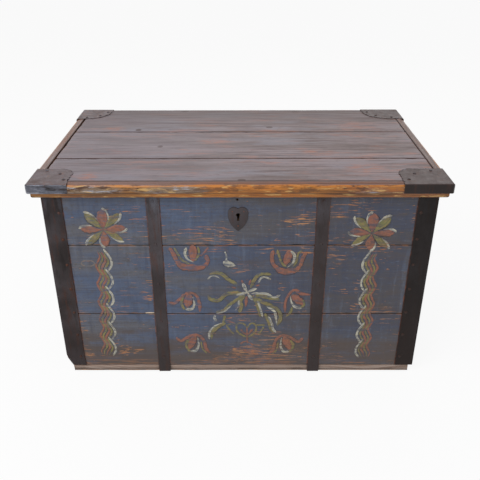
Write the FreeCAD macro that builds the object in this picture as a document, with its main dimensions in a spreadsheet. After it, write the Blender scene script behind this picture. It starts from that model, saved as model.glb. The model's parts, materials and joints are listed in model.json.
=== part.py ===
"""Iron-bound painted pine trunk: a dovetailed plank case, a moulded lid on strap hinges,
a chest lock behind a heart-shaped keyhole plate, and a drop handle on each end.

Millimetres, +Z up. The origin lies on the floor under the middle of the lid, the front looks along -Y.
"""

import FreeCAD
import Part
import math
import os
import Sketcher

Vector = FreeCAD.Vector

# Driving dimensions, in millimetres, counts where the name says count, and shares of a named size
SIZES = (
    # Case of horizontal planks
    ("case_width", 1101.0),
    ("case_depth", 668.0),
    ("wall", 25.0),
    ("lower_plank", 198.0),
    ("middle_plank", 238.0),
    ("upper_plank", 176.0),
    ("plank_gap", 0.8),
    ("joint_play", 0.1),
    ("tail_tip_share", 0.36),
    ("tail_root_share", 0.25),
    ("base_plank", 24.0),
    ("base_inset", 8.0),
    ("base_front_plank", 230.0),
    ("base_middle_plank", 215.0),
    ("base_round", 7.0),
    ("base_ease", 3.0),
    # Lid of planks inside a moulded edge
    ("lid_overhang", 29.5),
    ("back_overhang", 16.0),
    ("lid_plank", 24.5),
    ("lid_play", 0.5),
    ("swing_play", 1.0),
    ("lid_front_plank", 177.0),
    ("lid_middle_plank", 250.0),
    ("plank_ease", 1.5),
    ("moulding_height", 44.0),
    ("nose_height", 28.0),
    ("nose_round", 8.5),
    ("nose_step", 1.5),
    ("nose_under", 6.0),
    ("lip_set", 8.0),
    ("lip_round", 8.0),
    ("batten_width", 48.0),
    ("batten_thick", 20.0),
    ("batten_inset", 34.0),
    ("batten_play", 9.0),
    ("batten_ease", 5.0),
    # Iron straps, corner irons and lid corners
    ("iron", 2.5),
    ("iron_drop", 2.0),
    ("iron_round", 2.0),
    ("corner_leg", 54.0),
    ("corner_lift", 1.5),
    ("strap_width", 36.0),
    ("strap_left", 243.0),
    ("strap_right", 234.0),
    ("strap_under", 90.0),
    ("strap_bend", 4.0),
    ("bracket_sheet", 1.5),
    ("bracket_reach_left", 112.0),
    ("bracket_reach_right", 135.0),
    ("bracket_depth", 116.0),
    ("bracket_round_front", 40.0),
    ("bracket_round_back", 88.0),
    ("bracket_corner", 5.0),
    ("bracket_bend", 3.5),
    ("bracket_flange", 26.0),
    ("back_flange", 22.0),
    # Wrought nails
    ("nail_head", 9.5),
    ("nail_crown", 2.6),
    ("nail_shank", 4.0),
    ("nail_play", 0.15),
    ("nail_edge", 11.0),
    ("nail_margin", 34.0),
    ("tack_head", 4.0),
    ("tack_crown", 0.8),
    ("tack_shank", 2.0),
    ("corner_nail_drop", 70.0),
    ("corner_nail_count", 7),
    ("strap_nail_count", 5),
    ("leaf_nail_count", 3),
    # Strap hinges
    ("barrel_radius", 6.5),
    ("pin_radius", 3.0),
    ("pin_play", 0.1),
    ("hinge_gap", 0.5),
    ("knuckle", 17.0),
    ("pin_overhang", 2.0),
    ("leaf_length", 330.0),
    ("leaf_tip", 14.0),
    ("leaf_slot_play", 1.0),
    # Keyhole, heart-shaped plate and old peg hole
    ("key_offset", 5.0),
    ("key_drop", 79.0),
    ("key_round", 6.0),
    ("key_slot", 5.6),
    ("key_slot_drop", 18.0),
    ("heart_width", 56.0),
    ("heart_high", 75.0),
    ("heart_rise", 25.0),
    ("heart_notch", 6.0),
    ("heart_shoulder", 14.0),
    ("heart_lobe", 16.5),
    ("heart_flank", 62.0),
    ("heart_sheet", 1.5),
    ("heart_nail_set", 16.0),
    ("peg_hole", 3.5),
    ("peg_deep", 14.0),
    ("peg_shift", 2.0),
    ("peg_drop", 32.0),
    # Chest lock inside the upper front plank
    ("lock_plate", 2.5),
    ("lock_plate_half", 66.0),
    ("lock_plate_below", 46.0),
    ("lock_plate_above", 64.0),
    ("lock_half", 50.0),
    ("lock_below", 36.0),
    ("lock_above", 50.0),
    ("lock_deep", 28.0),
    ("lock_sheet", 2.0),
    ("lock_ease", 4.0),
    ("bolt_long", 62.0),
    ("bolt_tail", 40.0),
    ("bolt_high", 14.0),
    ("bolt_thick", 7.0),
    ("bolt_rise", 20.0),
    ("bolt_set", 10.5),
    ("bolt_notch_deep", 5.0),
    ("bolt_travel", 16.0),
    ("key_post", 2.4),
    ("key_post_gap", 3.5),
    ("spring_thick", 1.2),
    ("spring_wide", 6.0),
    ("spring_half", 26.0),
    ("spring_play", 0.3),
    ("staple_thick", 6.0),
    ("staple_gap", 4.0),
    ("staple_leg", 2.5),
    ("staple_play", 1.0),
    ("staple_under", 4.0),
    ("staple_slot_play", 1.5),
    ("staple_plate", 2.5),
    ("staple_plate_half", 24.0),
    ("staple_plate_front", 1.5),
    ("staple_plate_long", 58.0),
    # Drop handles
    ("handle_drop", 236.0),
    ("handle_span", 150.0),
    ("handle_stand", 11.0),
    ("eye_radius", 9.5),
    ("eye_wide", 11.0),
    ("eye_plate", 2.5),
    ("eye_plate_wide", 34.0),
    ("eye_plate_high", 50.0),
    ("eye_plate_ease", 9.0),
    ("bail_radius", 4.8),
    ("bail_play", 0.4),
    ("bail_drop", 72.0),
    ("bail_bend", 11.0),
    ("bail_sweep", 24.0),
    ("bail_gap", 2.0),
    ("bail_head", 7.0),
    ("bail_head_thick", 3.0),
    # Small open till across the left end
    ("till_wide", 150.0),
    ("till_wall", 14.0),
    ("till_floor", 12.0),
    ("till_high", 132.0),
    ("till_drop", 34.0),
    ("till_ease", 4.0),
    # Cutters run this far past what they cut
    ("overrun", 5.0),
)

doc = FreeCAD.newDocument("Trunk")
sheet = doc.addObject("Spreadsheet::Sheet", "Sizes")
for row, (alias, number) in enumerate(SIZES, 1):
    sheet.set(f"A{row}", alias)
    sheet.set(f"B{row}", str(number))
    sheet.setAlias(f"B{row}", alias)
doc.recompute()


class Size:
    """A length that knows its number and the spreadsheet expression that gives it."""

    def __init__(self, number, words):
        self.number = number
        self.words = words

    def __add__(self, other):
        other = as_size(other)
        return Size(self.number + other.number, f"({self.words} + {other.words})")

    def __sub__(self, other):
        other = as_size(other)
        return Size(self.number - other.number, f"({self.words} - {other.words})")

    def __mul__(self, other):
        other = as_size(other)
        return Size(self.number * other.number, f"({self.words} * {other.words})")

    def __truediv__(self, other):
        other = as_size(other)
        return Size(self.number / other.number, f"({self.words} / {other.words})")

    def __neg__(self):
        return Size(-self.number, f"(-1 * {self.words})")


def as_size(value):
    """A plain factor or zero as a Size."""
    return value if isinstance(value, Size) else Size(float(value), repr(value))


class SheetSizes:
    """The spreadsheet's cells as attributes."""

    def __getattr__(self, alias):
        return Size(float(sheet.get(alias)), f"Sizes.{alias}")


S = SheetSizes()
ZERO = Size(0.0, "0")


def low_high(a, b):
    """Two sizes, the lower first."""
    return (a, b) if a.number < b.number else (b, a)


# Levels and faces that several pieces share
half_width = S.case_width / 2
lid_half = half_width + S.lid_overhang
lid_depth = S.case_depth + S.lid_overhang + S.back_overhang
lid_front = -lid_depth / 2
lid_back = lid_depth / 2
case_front = lid_front + S.lid_overhang
case_back = lid_back - S.back_overhang
case_middle = (case_front + case_back) / 2
inner_front = case_front + S.wall
inner_back = case_back - S.wall
inner_half = half_width - S.wall
base_top = S.iron + S.base_plank
lower_top = base_top + S.lower_plank
middle_low = lower_top + S.plank_gap
middle_top = middle_low + S.middle_plank
upper_low = middle_top + S.plank_gap
rim = upper_low + S.upper_plank
underside = rim + S.lid_play
lid_top = underside + S.lid_plank
moulding = S.lid_overhang - S.iron - S.swing_play
lid_inner_half = lid_half - moulding
iron_top = rim - S.iron_drop
iron_foot = base_top + S.corner_lift
pivot_y = case_back + S.hinge_gap + S.barrel_radius
pivot_z = underside - S.hinge_gap - S.barrel_radius
key_x = -S.key_offset
key_z = rim - S.key_drop
strap_places = {"left": -S.strap_left, "right": S.strap_right}
plank_levels = {
    "lower": (base_top, lower_top),
    "middle": (middle_low, middle_top),
    "upper": (upper_low, rim),
}

pieces = []


# Sketches and features

NORMAL_SIGN = {"XY_Plane": 1, "XZ_Plane": -1, "YZ_Plane": 1}


def bind(feature, prop, size):
    """Ties a property to the spreadsheet."""
    feature.setExpression(prop, size.words)


def origin_feature(body, role):
    """One of a body's own origin planes or axes."""
    return next(f for f in body.Origin.OriginFeatures if f.Role == role)


def new_body(label):
    """A named sub-part."""
    body = doc.addObject("PartDesign::Body", label)
    body.Label = label
    pieces.append(body)
    return body


def fix_point(sketch, geometry, end, x, y):
    """Sets one end of a sketch line or arc, or a circle's centre, from the sheet."""
    for kind, size in (("DistanceX", x), ("DistanceY", y)):
        index = sketch.addConstraint(Sketcher.Constraint(kind, -1, 1, geometry, end, size.number))
        sketch.setExpression(f"Constraints[{index}]", size.words)


def fix_radius(sketch, geometry, radius):
    """Sets a circle's or arc's radius from the sheet."""
    index = sketch.addConstraint(Sketcher.Constraint("Radius", geometry, radius.number))
    sketch.setExpression(f"Constraints[{index}]", radius.words)


def arc_middle(start, end, radius, side):
    """The middle of the short arc between two points. It swells left, or right for side -1."""
    chord = end - start
    half = chord.Length / 2
    swell = radius - math.sqrt(max(radius * radius - half * half, 0))
    left = Vector(-chord.y, chord.x, 0).normalize()
    return (start + end) / 2 + left * swell * side


class Chain:
    """Lines and short arcs from corner to corner. A corner is (x, y), or (x, y, radius, side)
    where an arc leads on from it."""

    def __init__(self, *corners, closed=True):
        self.corners = corners
        self.closed = closed

    def draw(self, sketch):
        first = sketch.GeometryCount
        count = len(self.corners)
        points = [Vector(c[0].number, c[1].number, 0) for c in self.corners]
        ends = []
        for i in range(count if self.closed else count - 1):
            start, end = points[i], points[(i + 1) % count]
            if len(self.corners[i]) == 2:
                sketch.addGeometry(Part.LineSegment(start, end), False)
                ends.append((1, 2))
                continue
            _, _, radius, side = self.corners[i]
            sketch.addGeometry(Part.Arc(start, arc_middle(start, end, radius.number, side), end), False)
            ends.append((1, 2) if side < 0 else (2, 1))
        for i, (begin, finish) in enumerate(ends):
            after = (i + 1) % len(ends)
            if self.closed or i + 1 < len(ends):
                meet = Sketcher.Constraint("Coincident", first + i, finish, first + after, ends[after][0])
                sketch.addConstraint(meet)
            fix_point(sketch, first + i, begin, *self.corners[i][:2])
        if not self.closed:
            fix_point(sketch, first + len(ends) - 1, ends[-1][1], *self.corners[-1][:2])
        for i in range(len(ends)):
            if len(self.corners[i]) == 4:
                fix_radius(sketch, first + i, self.corners[i][2])


class Circle:
    """A circle about a point."""

    def __init__(self, x, y, radius):
        self.x, self.y, self.radius = x, y, radius

    def draw(self, sketch):
        index = sketch.addGeometry(
            Part.Circle(Vector(self.x.number, self.y.number, 0), Vector(0, 0, 1), self.radius.number), False
        )
        fix_point(sketch, index, 3, self.x, self.y)
        fix_radius(sketch, index, self.radius)


def rectangle(x0, x1, y0, y1):
    """A closed rectangle."""
    return Chain((x0, y0), (x1, y0), (x1, y1), (x0, y1))


def eased_rectangle(x0, x1, y0, y1, ease, far_ease):
    """A rectangle whose two upper corners are bevelled."""
    return Chain(
        (x0, y0), (x1, y0), (x1, y1 - far_ease), (x1 - far_ease, y1), (x0 + ease, y1), (x0, y1 - ease),
    )


def hexagon(x, y, radius):
    """Six forged flats about a point, with their corners on a circle."""
    turns = [math.pi * k / 3 for k in range(6)]
    return Chain(*[(x + radius * math.cos(turn), y + radius * math.sin(turn)) for turn in turns])


def square(x, y, side):
    """A square about a point."""
    return rectangle(x - side / 2, x + side / 2, y - side / 2, y + side / 2)


def add_sketch(body, name, role, level, shapes):
    """A sketch at a level along its plane's axis."""
    sketch = body.newObject("Sketcher::SketchObject", f"{body.Name}_{name}_sketch")
    sketch.AttachmentSupport = [(origin_feature(body, role), "")]
    sketch.MapMode = "FlatFace"
    bind(sketch, "AttachmentOffset.Base.z", level * NORMAL_SIGN[role])
    for shape in shapes:
        shape.draw(sketch)
    return sketch


def pad(body, name, role, low, high, *shapes):
    """Material between two levels along the sketch plane's axis."""
    start = low if NORMAL_SIGN[role] > 0 else high
    feature = body.newObject("PartDesign::Pad", f"{body.Name}_{name}")
    feature.Profile = add_sketch(body, name, role, start, shapes)
    bind(feature, "Length", high - low)
    doc.recompute()
    return feature


def pocket(body, name, role, low, high, *shapes):
    """A cut between two levels along the sketch plane's axis."""
    start = high if NORMAL_SIGN[role] > 0 else low
    before = body.Shape.Volume
    feature = body.newObject("PartDesign::Pocket", f"{body.Name}_{name}")
    feature.Profile = add_sketch(body, name, role, start, shapes)
    bind(feature, "Length", high - low)
    doc.recompute()
    if body.Shape.Volume >= before:
        raise RuntimeError(f"{feature.Name} cuts nothing")
    return feature


def mirrored(body, feature, role):
    """The same feature on the other side of an origin plane."""
    mirror = body.newObject("PartDesign::Mirrored", f"{feature.Name}_mirrored")
    mirror.Originals = [feature]
    mirror.MirrorPlane = (origin_feature(body, role), [""])
    body.Tip = mirror
    doc.recompute()


def repeated(body, feature, role, length, count):
    """The same feature in a row along an origin axis."""
    row_of = body.newObject("PartDesign::LinearPattern", f"{feature.Name}_row")
    row_of.Originals = [feature]
    row_of.Direction = (origin_feature(body, role), [""])
    bind(row_of, "Length", length)
    bind(row_of, "Occurrences", count)
    body.Tip = row_of
    doc.recompute()


def named_at(kind, shape, **places):
    """Names of the edges or faces whose box lies at the given coordinates, such as XMin=..., XMax=..."""
    near = 1e-4
    names = []
    for index, item in enumerate(getattr(shape, f"{kind}s"), 1):
        if all(abs(getattr(item.BoundBox, key) - size.number) < near for key, size in places.items()):
            names.append(f"{kind}{index}")
    if not names:
        raise RuntimeError(f"no {kind} at {[(key, size.number) for key, size in places.items()]}")
    return names


def ease_edges(body, kind, prop, size, *places):
    """Rounds or bevels the edges at each of the given places."""
    base = body.Tip
    names = [name for place in places for name in named_at("Edge", base.Shape, **place)]
    feature = body.newObject(f"PartDesign::{kind}", f"{body.Name}_{kind.lower()}")
    feature.Base = (base, names)
    bind(feature, prop, size)
    doc.recompute()


def along_x(y, z):
    """Where an edge that runs along X lies."""
    return {"YMin": y, "YMax": y, "ZMin": z, "ZMax": z}


def along_z(x, y):
    """Where an edge that runs along Z lies."""
    return {"XMin": x, "XMax": x, "YMin": y, "YMax": y}


def spread(axis, a, b):
    """The box of an edge or face that spans two coordinates along one axis."""
    low, high = low_high(a, b)
    return {f"{axis}Min": low, f"{axis}Max": high}


# Case planks with through dovetails

def tail_edges(low, high, play):
    """Heights of the two tails of a plank: (low root, low tip, high tip, high root) of each."""
    height = high - low
    tails = []
    for place_share in (0.25, 0.75):
        middle = low + height * place_share
        tip = height * S.tail_tip_share / 2 + play
        root = height * S.tail_root_share / 2 + play
        tails.append((middle - root, middle - tip, middle + tip, middle + root))
    return tails


def end_plank(label, side, low, high):
    """A plank across one end of the case, with two tails at each of its ends."""
    tails = tail_edges(low, high, ZERO)
    outline = [(inner_front, low), (inner_back, low)]
    for low_root, low_tip, high_tip, high_root in tails:
        outline += [(inner_back, low_root), (case_back, low_tip)]
        outline += [(case_back, high_tip), (inner_back, high_root)]
    outline += [(inner_back, high), (inner_front, high)]
    for low_root, low_tip, high_tip, high_root in reversed(tails):
        outline += [(inner_front, high_root), (case_front, high_tip)]
        outline += [(case_front, low_tip), (inner_front, low_root)]
    body = new_body(label)
    pad(body, "plank", "YZ_Plane", *low_high(inner_half * side, half_width * side), Chain(*outline))


def long_plank(label, outer, inner, low, high, top_edge=()):
    """A front or back plank with sockets for the tails. Its upper edge runs right to left."""
    body = new_body(label)
    lower_edge = ((-half_width, low), (half_width, low))
    outline = Chain(*lower_edge, (half_width, high), *top_edge, (-half_width, high))
    pad(body, "plank", "XZ_Plane", *low_high(outer, inner), outline)
    sockets = []
    for low_root, low_tip, high_tip, high_root in tail_edges(low, high, S.joint_play):
        sockets.append(Chain((inner, low_root), (outer, low_tip), (outer, high_tip), (inner, high_root)))
    cut = pocket(body, "sockets", "YZ_Plane", inner_half, half_width + S.overrun, *sockets)
    mirrored(body, cut, "YZ_Plane")
    return body


def hinge_notches():
    """Corners of the two notches in the back rim that the lid's hinge leaves lie in, right to left."""
    reach = S.strap_width / 2 + S.leaf_slot_play
    floor = underside - S.iron - S.leaf_slot_play
    corners = []
    for side in ("right", "left"):
        x = strap_places[side]
        corners += [(x + reach, rim), (x + reach, floor), (x - reach, floor), (x - reach, rim)]
    return corners


def keyhole(body, role_low, role_high):
    """The round and the slot of the keyhole, through a front plank or a plate."""
    pocket(body, "key_round", "XZ_Plane", role_low, role_high, Circle(key_x, key_z, S.key_round))
    slot = rectangle(key_x - S.key_slot / 2, key_x + S.key_slot / 2, key_z - S.key_slot_drop, key_z)
    pocket(body, "key_slot", "XZ_Plane", role_low, role_high, slot)


for level, (low, high) in plank_levels.items():
    end_plank(f"left_plank_{level}", -1, low, high)
    end_plank(f"right_plank_{level}", 1, low, high)
    front_plank = long_plank(f"front_plank_{level}", case_front, inner_front, low, high)
    if level == "upper":
        keyhole(front_plank, case_front - S.overrun, inner_front + S.overrun)
        peg = Circle(key_x - S.peg_shift, rim - S.peg_drop, S.peg_hole)
        pocket(front_plank, "peg_hole", "XZ_Plane", case_front, case_front + S.peg_deep, peg)
    notches = hinge_notches() if level == "upper" else ()
    long_plank(f"back_plank_{level}", case_back, inner_back, low, high, notches)


# Bottom planks, whose front edge shows below the case

base_half = half_width - S.base_inset
base_splits = (
    ("front", case_front, case_front + S.base_front_plank),
    ("middle", case_front + S.base_front_plank + S.plank_gap,
     case_front + S.base_front_plank + S.plank_gap + S.base_middle_plank),
    ("back", case_front + S.base_front_plank + S.base_middle_plank + S.plank_gap * 2, case_back),
)
for place, near, far in base_splits:
    plank = new_body(f"base_plank_{place}")
    pad(plank, "plank", "YZ_Plane", -base_half, base_half, rectangle(near, far, S.iron, base_top))
    if place == "front":
        ease_edges(plank, "Fillet", "Radius", S.base_round, along_x(near, base_top))
        ease_edges(plank, "Fillet", "Radius", S.base_ease, along_x(near, S.iron))


# Lid planks, moulded edge and battens

lid_splits = (
    ("front", lid_front + moulding, lid_front + moulding + S.lid_front_plank),
    ("middle", lid_front + moulding + S.lid_front_plank + S.plank_gap,
     lid_front + moulding + S.lid_front_plank + S.plank_gap + S.lid_middle_plank),
    ("back", lid_front + moulding + S.lid_front_plank + S.lid_middle_plank + S.plank_gap * 2, lid_back),
)
for place, near, far in lid_splits:
    plank = new_body(f"lid_plank_{place}")
    far_ease = S.bracket_bend if place == "back" else S.plank_ease
    section = eased_rectangle(near, far, underside, lid_top, S.plank_ease, far_ease)
    pad(plank, "plank", "YZ_Plane", -lid_inner_half, lid_inner_half, section)


def moulding_profile(outer, inward):
    """The lid edge in section: a nose below a small step, over a set-back lip with a rounded foot."""
    def corner(inset, drop, *arc):
        return (outer + inset * inward, lid_top - drop, *arc)

    convex = -inward
    return Chain(
        corner(moulding, ZERO),
        corner(S.nose_round + S.nose_step, ZERO),
        corner(S.nose_round + S.nose_step, S.nose_step),
        corner(S.nose_round, S.nose_step, S.nose_round, convex),
        corner(ZERO, S.nose_step + S.nose_round),
        corner(ZERO, S.nose_height - S.nose_under, S.nose_under, convex),
        corner(S.nose_under, S.nose_height),
        corner(S.lip_set, S.nose_height),
        corner(S.lip_set, S.moulding_height - S.lip_round, S.lip_round, convex),
        corner(S.lip_set + S.lip_round, S.moulding_height),
        corner(moulding, S.moulding_height),
    )


moulding_low = lid_top - S.moulding_height - S.overrun
moulding_high = lid_top + S.overrun
corner_ease = S.bracket_corner
front_moulding = new_body("lid_moulding_front")
pad(front_moulding, "moulding", "YZ_Plane", -lid_half, lid_half, moulding_profile(lid_front, 1))
mitre = Chain(
    (lid_half - corner_ease, lid_front), (lid_half + S.overrun, lid_front),
    (lid_half + S.overrun, lid_front + moulding), (lid_inner_half, lid_front + moulding),
    (lid_half - corner_ease / 2, lid_front + corner_ease / 2),
)
mitre_cut = pocket(front_moulding, "mitre", "XY_Plane", moulding_low, moulding_high, mitre)
mirrored(front_moulding, mitre_cut, "YZ_Plane")
for side, sign in (("left", -1), ("right", 1)):
    edge = new_body(f"lid_moulding_{side}")
    outer_x, inner_x, past_x = lid_half * sign, lid_inner_half * sign, (lid_inner_half - S.overrun) * sign
    pad(edge, "moulding", "XZ_Plane", lid_front, lid_back, moulding_profile(outer_x, -sign))
    mitre = Chain(
        (outer_x, lid_front), (outer_x, lid_front + corner_ease),
        (outer_x - corner_ease / 2 * sign, lid_front + corner_ease / 2), (inner_x, lid_front + moulding),
        (past_x, lid_front + moulding), (past_x, lid_front),
    )
    pocket(edge, "mitre", "XY_Plane", moulding_low, moulding_high, mitre)
    back_ease = Chain(
        (outer_x, lid_back), (outer_x, lid_back - corner_ease), (outer_x - corner_ease * sign, lid_back),
    )
    pocket(edge, "back_ease", "XY_Plane", moulding_low, moulding_high, back_ease)
    top_ease = Chain(
        (lid_back, lid_top), (lid_back - S.bracket_bend, lid_top), (lid_back, lid_top - S.bracket_bend),
    )
    pocket(edge, "top_ease", "YZ_Plane", *low_high(outer_x, inner_x), top_ease)
    batten = new_body(f"lid_batten_{side}")
    outer_x = (inner_half - S.batten_inset) * sign
    inner_x = (inner_half - S.batten_inset - S.batten_width) * sign
    west, east = low_high(inner_x, outer_x)
    floor = underside - S.batten_thick
    section = Chain(
        (west, underside), (west, floor + S.batten_ease), (west + S.batten_ease, floor),
        (east - S.batten_ease, floor), (east, floor + S.batten_ease), (east, underside),
    )
    pad(batten, "batten", "XZ_Plane", inner_front + S.batten_play, inner_back - S.batten_play, section)


# Iron corners, straps and lid corner plates

nail_hole = S.nail_shank + S.nail_play * 2
tack_hole = S.tack_shank + S.nail_play * 2
corner_nail_low = iron_foot + S.nail_margin
corner_nail_run = iron_top - S.corner_nail_drop - corner_nail_low
strap_nail_low = base_top + S.nail_margin
strap_nail_run = iron_top - S.nail_margin - strap_nail_low


def corner_iron(label, sx, face_y, sy):
    """An angle iron round one upright corner, nailed near the edge of each leg."""
    body = new_body(label)
    x, y = half_width * sx, face_y
    out_x, out_y = x + S.iron * sx, y + S.iron * sy
    leg_x, leg_y = x - S.corner_leg * sx, y - S.corner_leg * sy
    angle = Chain((out_x, out_y), (out_x, leg_y), (x, leg_y), (x, y), (leg_x, y), (leg_x, out_y))
    pad(body, "angle", "XY_Plane", iron_foot, iron_top, angle)
    ease_edges(body, "Fillet", "Radius", S.iron_round, along_z(out_x, out_y))
    nail_x, nail_y = leg_x + S.nail_edge * sx, leg_y + S.nail_edge * sy
    face_hole = square(nail_x, corner_nail_low, nail_hole)
    hole = pocket(body, "face_nail", "XZ_Plane", *low_high(y, out_y), face_hole)
    repeated(body, hole, "Z_Axis", corner_nail_run, S.corner_nail_count)
    end_hole = square(nail_y, corner_nail_low, nail_hole)
    hole = pocket(body, "end_nail", "YZ_Plane", *low_high(x, out_x), end_hole)
    repeated(body, hole, "Z_Axis", corner_nail_run, S.corner_nail_count)


for end, face_y, sy in (("front", case_front, -1), ("back", case_back, 1)):
    corner_iron(f"corner_iron_{end}_left", -1, face_y, sy)
    corner_iron(f"corner_iron_{end}_right", 1, face_y, sy)


def strap_nails(body, x, low, high):
    """The row of nail holes up a strap."""
    hole = pocket(body, "nail", "XZ_Plane", low, high, square(x, strap_nail_low, nail_hole))
    repeated(body, hole, "Z_Axis", strap_nail_run, S.strap_nail_count)


for side, x in strap_places.items():
    strap = new_body(f"front_strap_{side}")
    face = case_front - S.iron
    angle = Chain(
        (face, ZERO), (case_front + S.strap_under, ZERO), (case_front + S.strap_under, S.iron),
        (case_front, S.iron), (case_front, iron_top), (face, iron_top),
    )
    pad(strap, "strap", "YZ_Plane", x - S.strap_width / 2, x + S.strap_width / 2, angle)
    ease_edges(strap, "Fillet", "Radius", S.strap_bend, along_x(face, ZERO))
    strap_nails(strap, x, face, case_front)


def corner_bracket(label, sx, sy, reach, flange, inner_round):
    """Sheet iron over one corner of the lid, hammered down round both edges."""
    body = new_body(label)
    wood_x, wood_y = lid_half * sx, lid_back * sy
    out_x, out_y = wood_x + S.bracket_sheet * sx, wood_y + S.bracket_sheet * sy
    in_x, in_y = wood_x - reach * sx, wood_y - S.bracket_depth * sy
    low, top = lid_top - flange, lid_top + S.bracket_sheet
    pad(body, "plate", "XY_Plane", low, top, rectangle(in_x, out_x, in_y, out_y))
    ease_edges(body, "Fillet", "Radius", inner_round, along_z(in_x, in_y))
    ease_edges(body, "Chamfer", "Size", S.bracket_corner, along_z(out_x, out_y))
    at_top = spread("Z", top, top)
    turn_x = spread("X", out_x, out_x - S.bracket_corner * sx)
    turn_y = spread("Y", out_y, out_y - S.bracket_corner * sy)
    long_edge = {**spread("Y", out_y, out_y), **at_top}
    end_edge = {**spread("X", out_x, out_x), **at_top}
    corner_edge = {**turn_x, **turn_y, **at_top}
    ease_edges(body, "Chamfer", "Size", S.bracket_bend, long_edge, end_edge, corner_edge)
    round_x = spread("X", in_x, in_x + inner_round * sx)
    round_y = spread("Y", in_y, in_y + inner_round * sy)
    inner_sides = (spread("X", in_x, in_x), spread("Y", in_y, in_y), {**round_x, **round_y})
    open_sides = (spread("Z", low, low), *inner_sides)
    base = body.Tip
    shell = body.newObject("PartDesign::Thickness", f"{label}_sheet")
    shell.Base = (base, [name for place in open_sides for name in named_at("Face", base.Shape, **place)])
    bind(shell, "Value", S.bracket_sheet)
    shell.Reversed = True
    doc.recompute()
    holes = [square(px, py, nail_hole) for px, py in bracket_nail_places(sx, sy, reach)]
    pocket(body, "nails", "XY_Plane", lid_top, top, *holes)


def bracket_nail_places(sx, sy, reach):
    """Nails along the rounded inner edge of a lid corner plate."""
    places = []
    for along_share, deep_share in ((0.86, 0.3), (0.68, 0.66), (0.3, 0.86)):
        px = (lid_half - reach * along_share) * sx
        py = (lid_back - S.bracket_depth * deep_share) * sy
        places.append((px, py))
    return places


bracket_corners = []
for end, sy, flange, inner_round in (
    ("front", -1, S.bracket_flange, S.bracket_round_front),
    ("back", 1, S.back_flange, S.bracket_round_back),
):
    for side, sx, reach in (("left", -1, S.bracket_reach_left), ("right", 1, S.bracket_reach_right)):
        corner_bracket(f"lid_corner_{end}_{side}", sx, sy, reach, flange, inner_round)
        bracket_corners.append((sx, sy, reach))


# Strap hinges: a strap up the back, a leaf under the lid, and a pin

knuckle_half = S.knuckle / 2
leaf_tip_y = pivot_y - S.leaf_length
leaf_nail_run = S.leaf_length - S.wall - S.nail_margin * 2


def hinge(side, x):
    """One strap hinge. The strap carries the two outer knuckles and the leaf the middle one."""
    west, east = x - S.strap_width / 2, x + S.strap_width / 2
    barrel = Circle(pivot_y, pivot_z, S.barrel_radius)
    bore = Circle(pivot_y, pivot_z, S.pin_radius + S.pin_play)
    face = case_back + S.iron

    strap = new_body(f"hinge_strap_{side}")
    angle = Chain(
        (face, ZERO), (face, pivot_z), (case_back, pivot_z), (case_back, S.iron),
        (case_back - S.strap_under, S.iron), (case_back - S.strap_under, ZERO),
    )
    pad(strap, "strap", "YZ_Plane", west, east, angle)
    ease_edges(strap, "Fillet", "Radius", S.strap_bend, along_x(face, ZERO))
    pad(strap, "barrel", "YZ_Plane", west, east, barrel)
    gap_low = pivot_z - S.barrel_radius - S.hinge_gap
    gap = rectangle(case_back - S.overrun, pivot_y + S.barrel_radius + S.overrun, gap_low, underside)
    pocket(strap, "gap", "YZ_Plane", x - knuckle_half - S.hinge_gap, x + knuckle_half + S.hinge_gap, gap)
    pocket(strap, "bore", "YZ_Plane", west - S.overrun, east + S.overrun, bore)
    strap_nails(strap, x, case_back, face)

    leaf = new_body(f"hinge_leaf_{side}")
    plate = rectangle(leaf_tip_y, pivot_y, underside - S.iron, underside)
    pad(leaf, "plate", "YZ_Plane", west, east, plate)
    pad(leaf, "barrel", "YZ_Plane", x - knuckle_half, x + knuckle_half, barrel)
    gap_start = pivot_y - S.barrel_radius - S.hinge_gap
    gap_end = pivot_y + S.overrun
    pocket(
        leaf, "gaps", "XY_Plane", pivot_z - S.barrel_radius, underside,
        rectangle(west - S.overrun, x - knuckle_half, gap_start, gap_end),
        rectangle(x + knuckle_half, east + S.overrun, gap_start, gap_end),
    )
    pocket(leaf, "bore", "YZ_Plane", west - S.overrun, east + S.overrun, bore)
    ease_edges(leaf, "Chamfer", "Size", S.leaf_tip, along_z(west, leaf_tip_y), along_z(east, leaf_tip_y))
    first = leaf_tip_y + S.nail_margin
    hole = pocket(leaf, "nail", "XY_Plane", underside - S.iron, underside, square(x, first, nail_hole))
    repeated(leaf, hole, "Y_Axis", leaf_nail_run, S.leaf_nail_count)

    pin = new_body(f"hinge_pin_{side}")
    shank = Circle(pivot_y, pivot_z, S.pin_radius)
    pad(pin, "pin", "YZ_Plane", west - S.pin_overhang, east + S.pin_overhang, shank)


for side, x in strap_places.items():
    hinge(side, x)


# Heart-shaped keyhole plate

heart_top = key_z + S.heart_rise
heart_out = case_front - S.heart_sheet
heart_x = S.heart_width / 2
heart_side = heart_top - S.heart_shoulder
heart = new_body("keyhole_plate")
pad(heart, "plate", "XZ_Plane", heart_out, case_front, Chain(
    (key_x, heart_top - S.heart_notch, S.heart_lobe, 1),
    (key_x + heart_x, heart_side, S.heart_flank, 1),
    (key_x, heart_top - S.heart_high, S.heart_flank, 1),
    (key_x - heart_x, heart_side, S.heart_lobe, 1),
))
keyhole(heart, heart_out - S.overrun, case_front)
heart_nails = (
    (key_x - S.heart_nail_set, heart_side), (key_x + S.heart_nail_set, heart_side),
    (key_x, heart_top - S.heart_high + S.heart_nail_set),
)
tack_holes = [square(px, pz, tack_hole) for px, pz in heart_nails]
pocket(heart, "tacks", "XZ_Plane", heart_out, case_front, *tack_holes)


# Chest lock: plate, cover, sliding bolt, spring and key post

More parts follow.
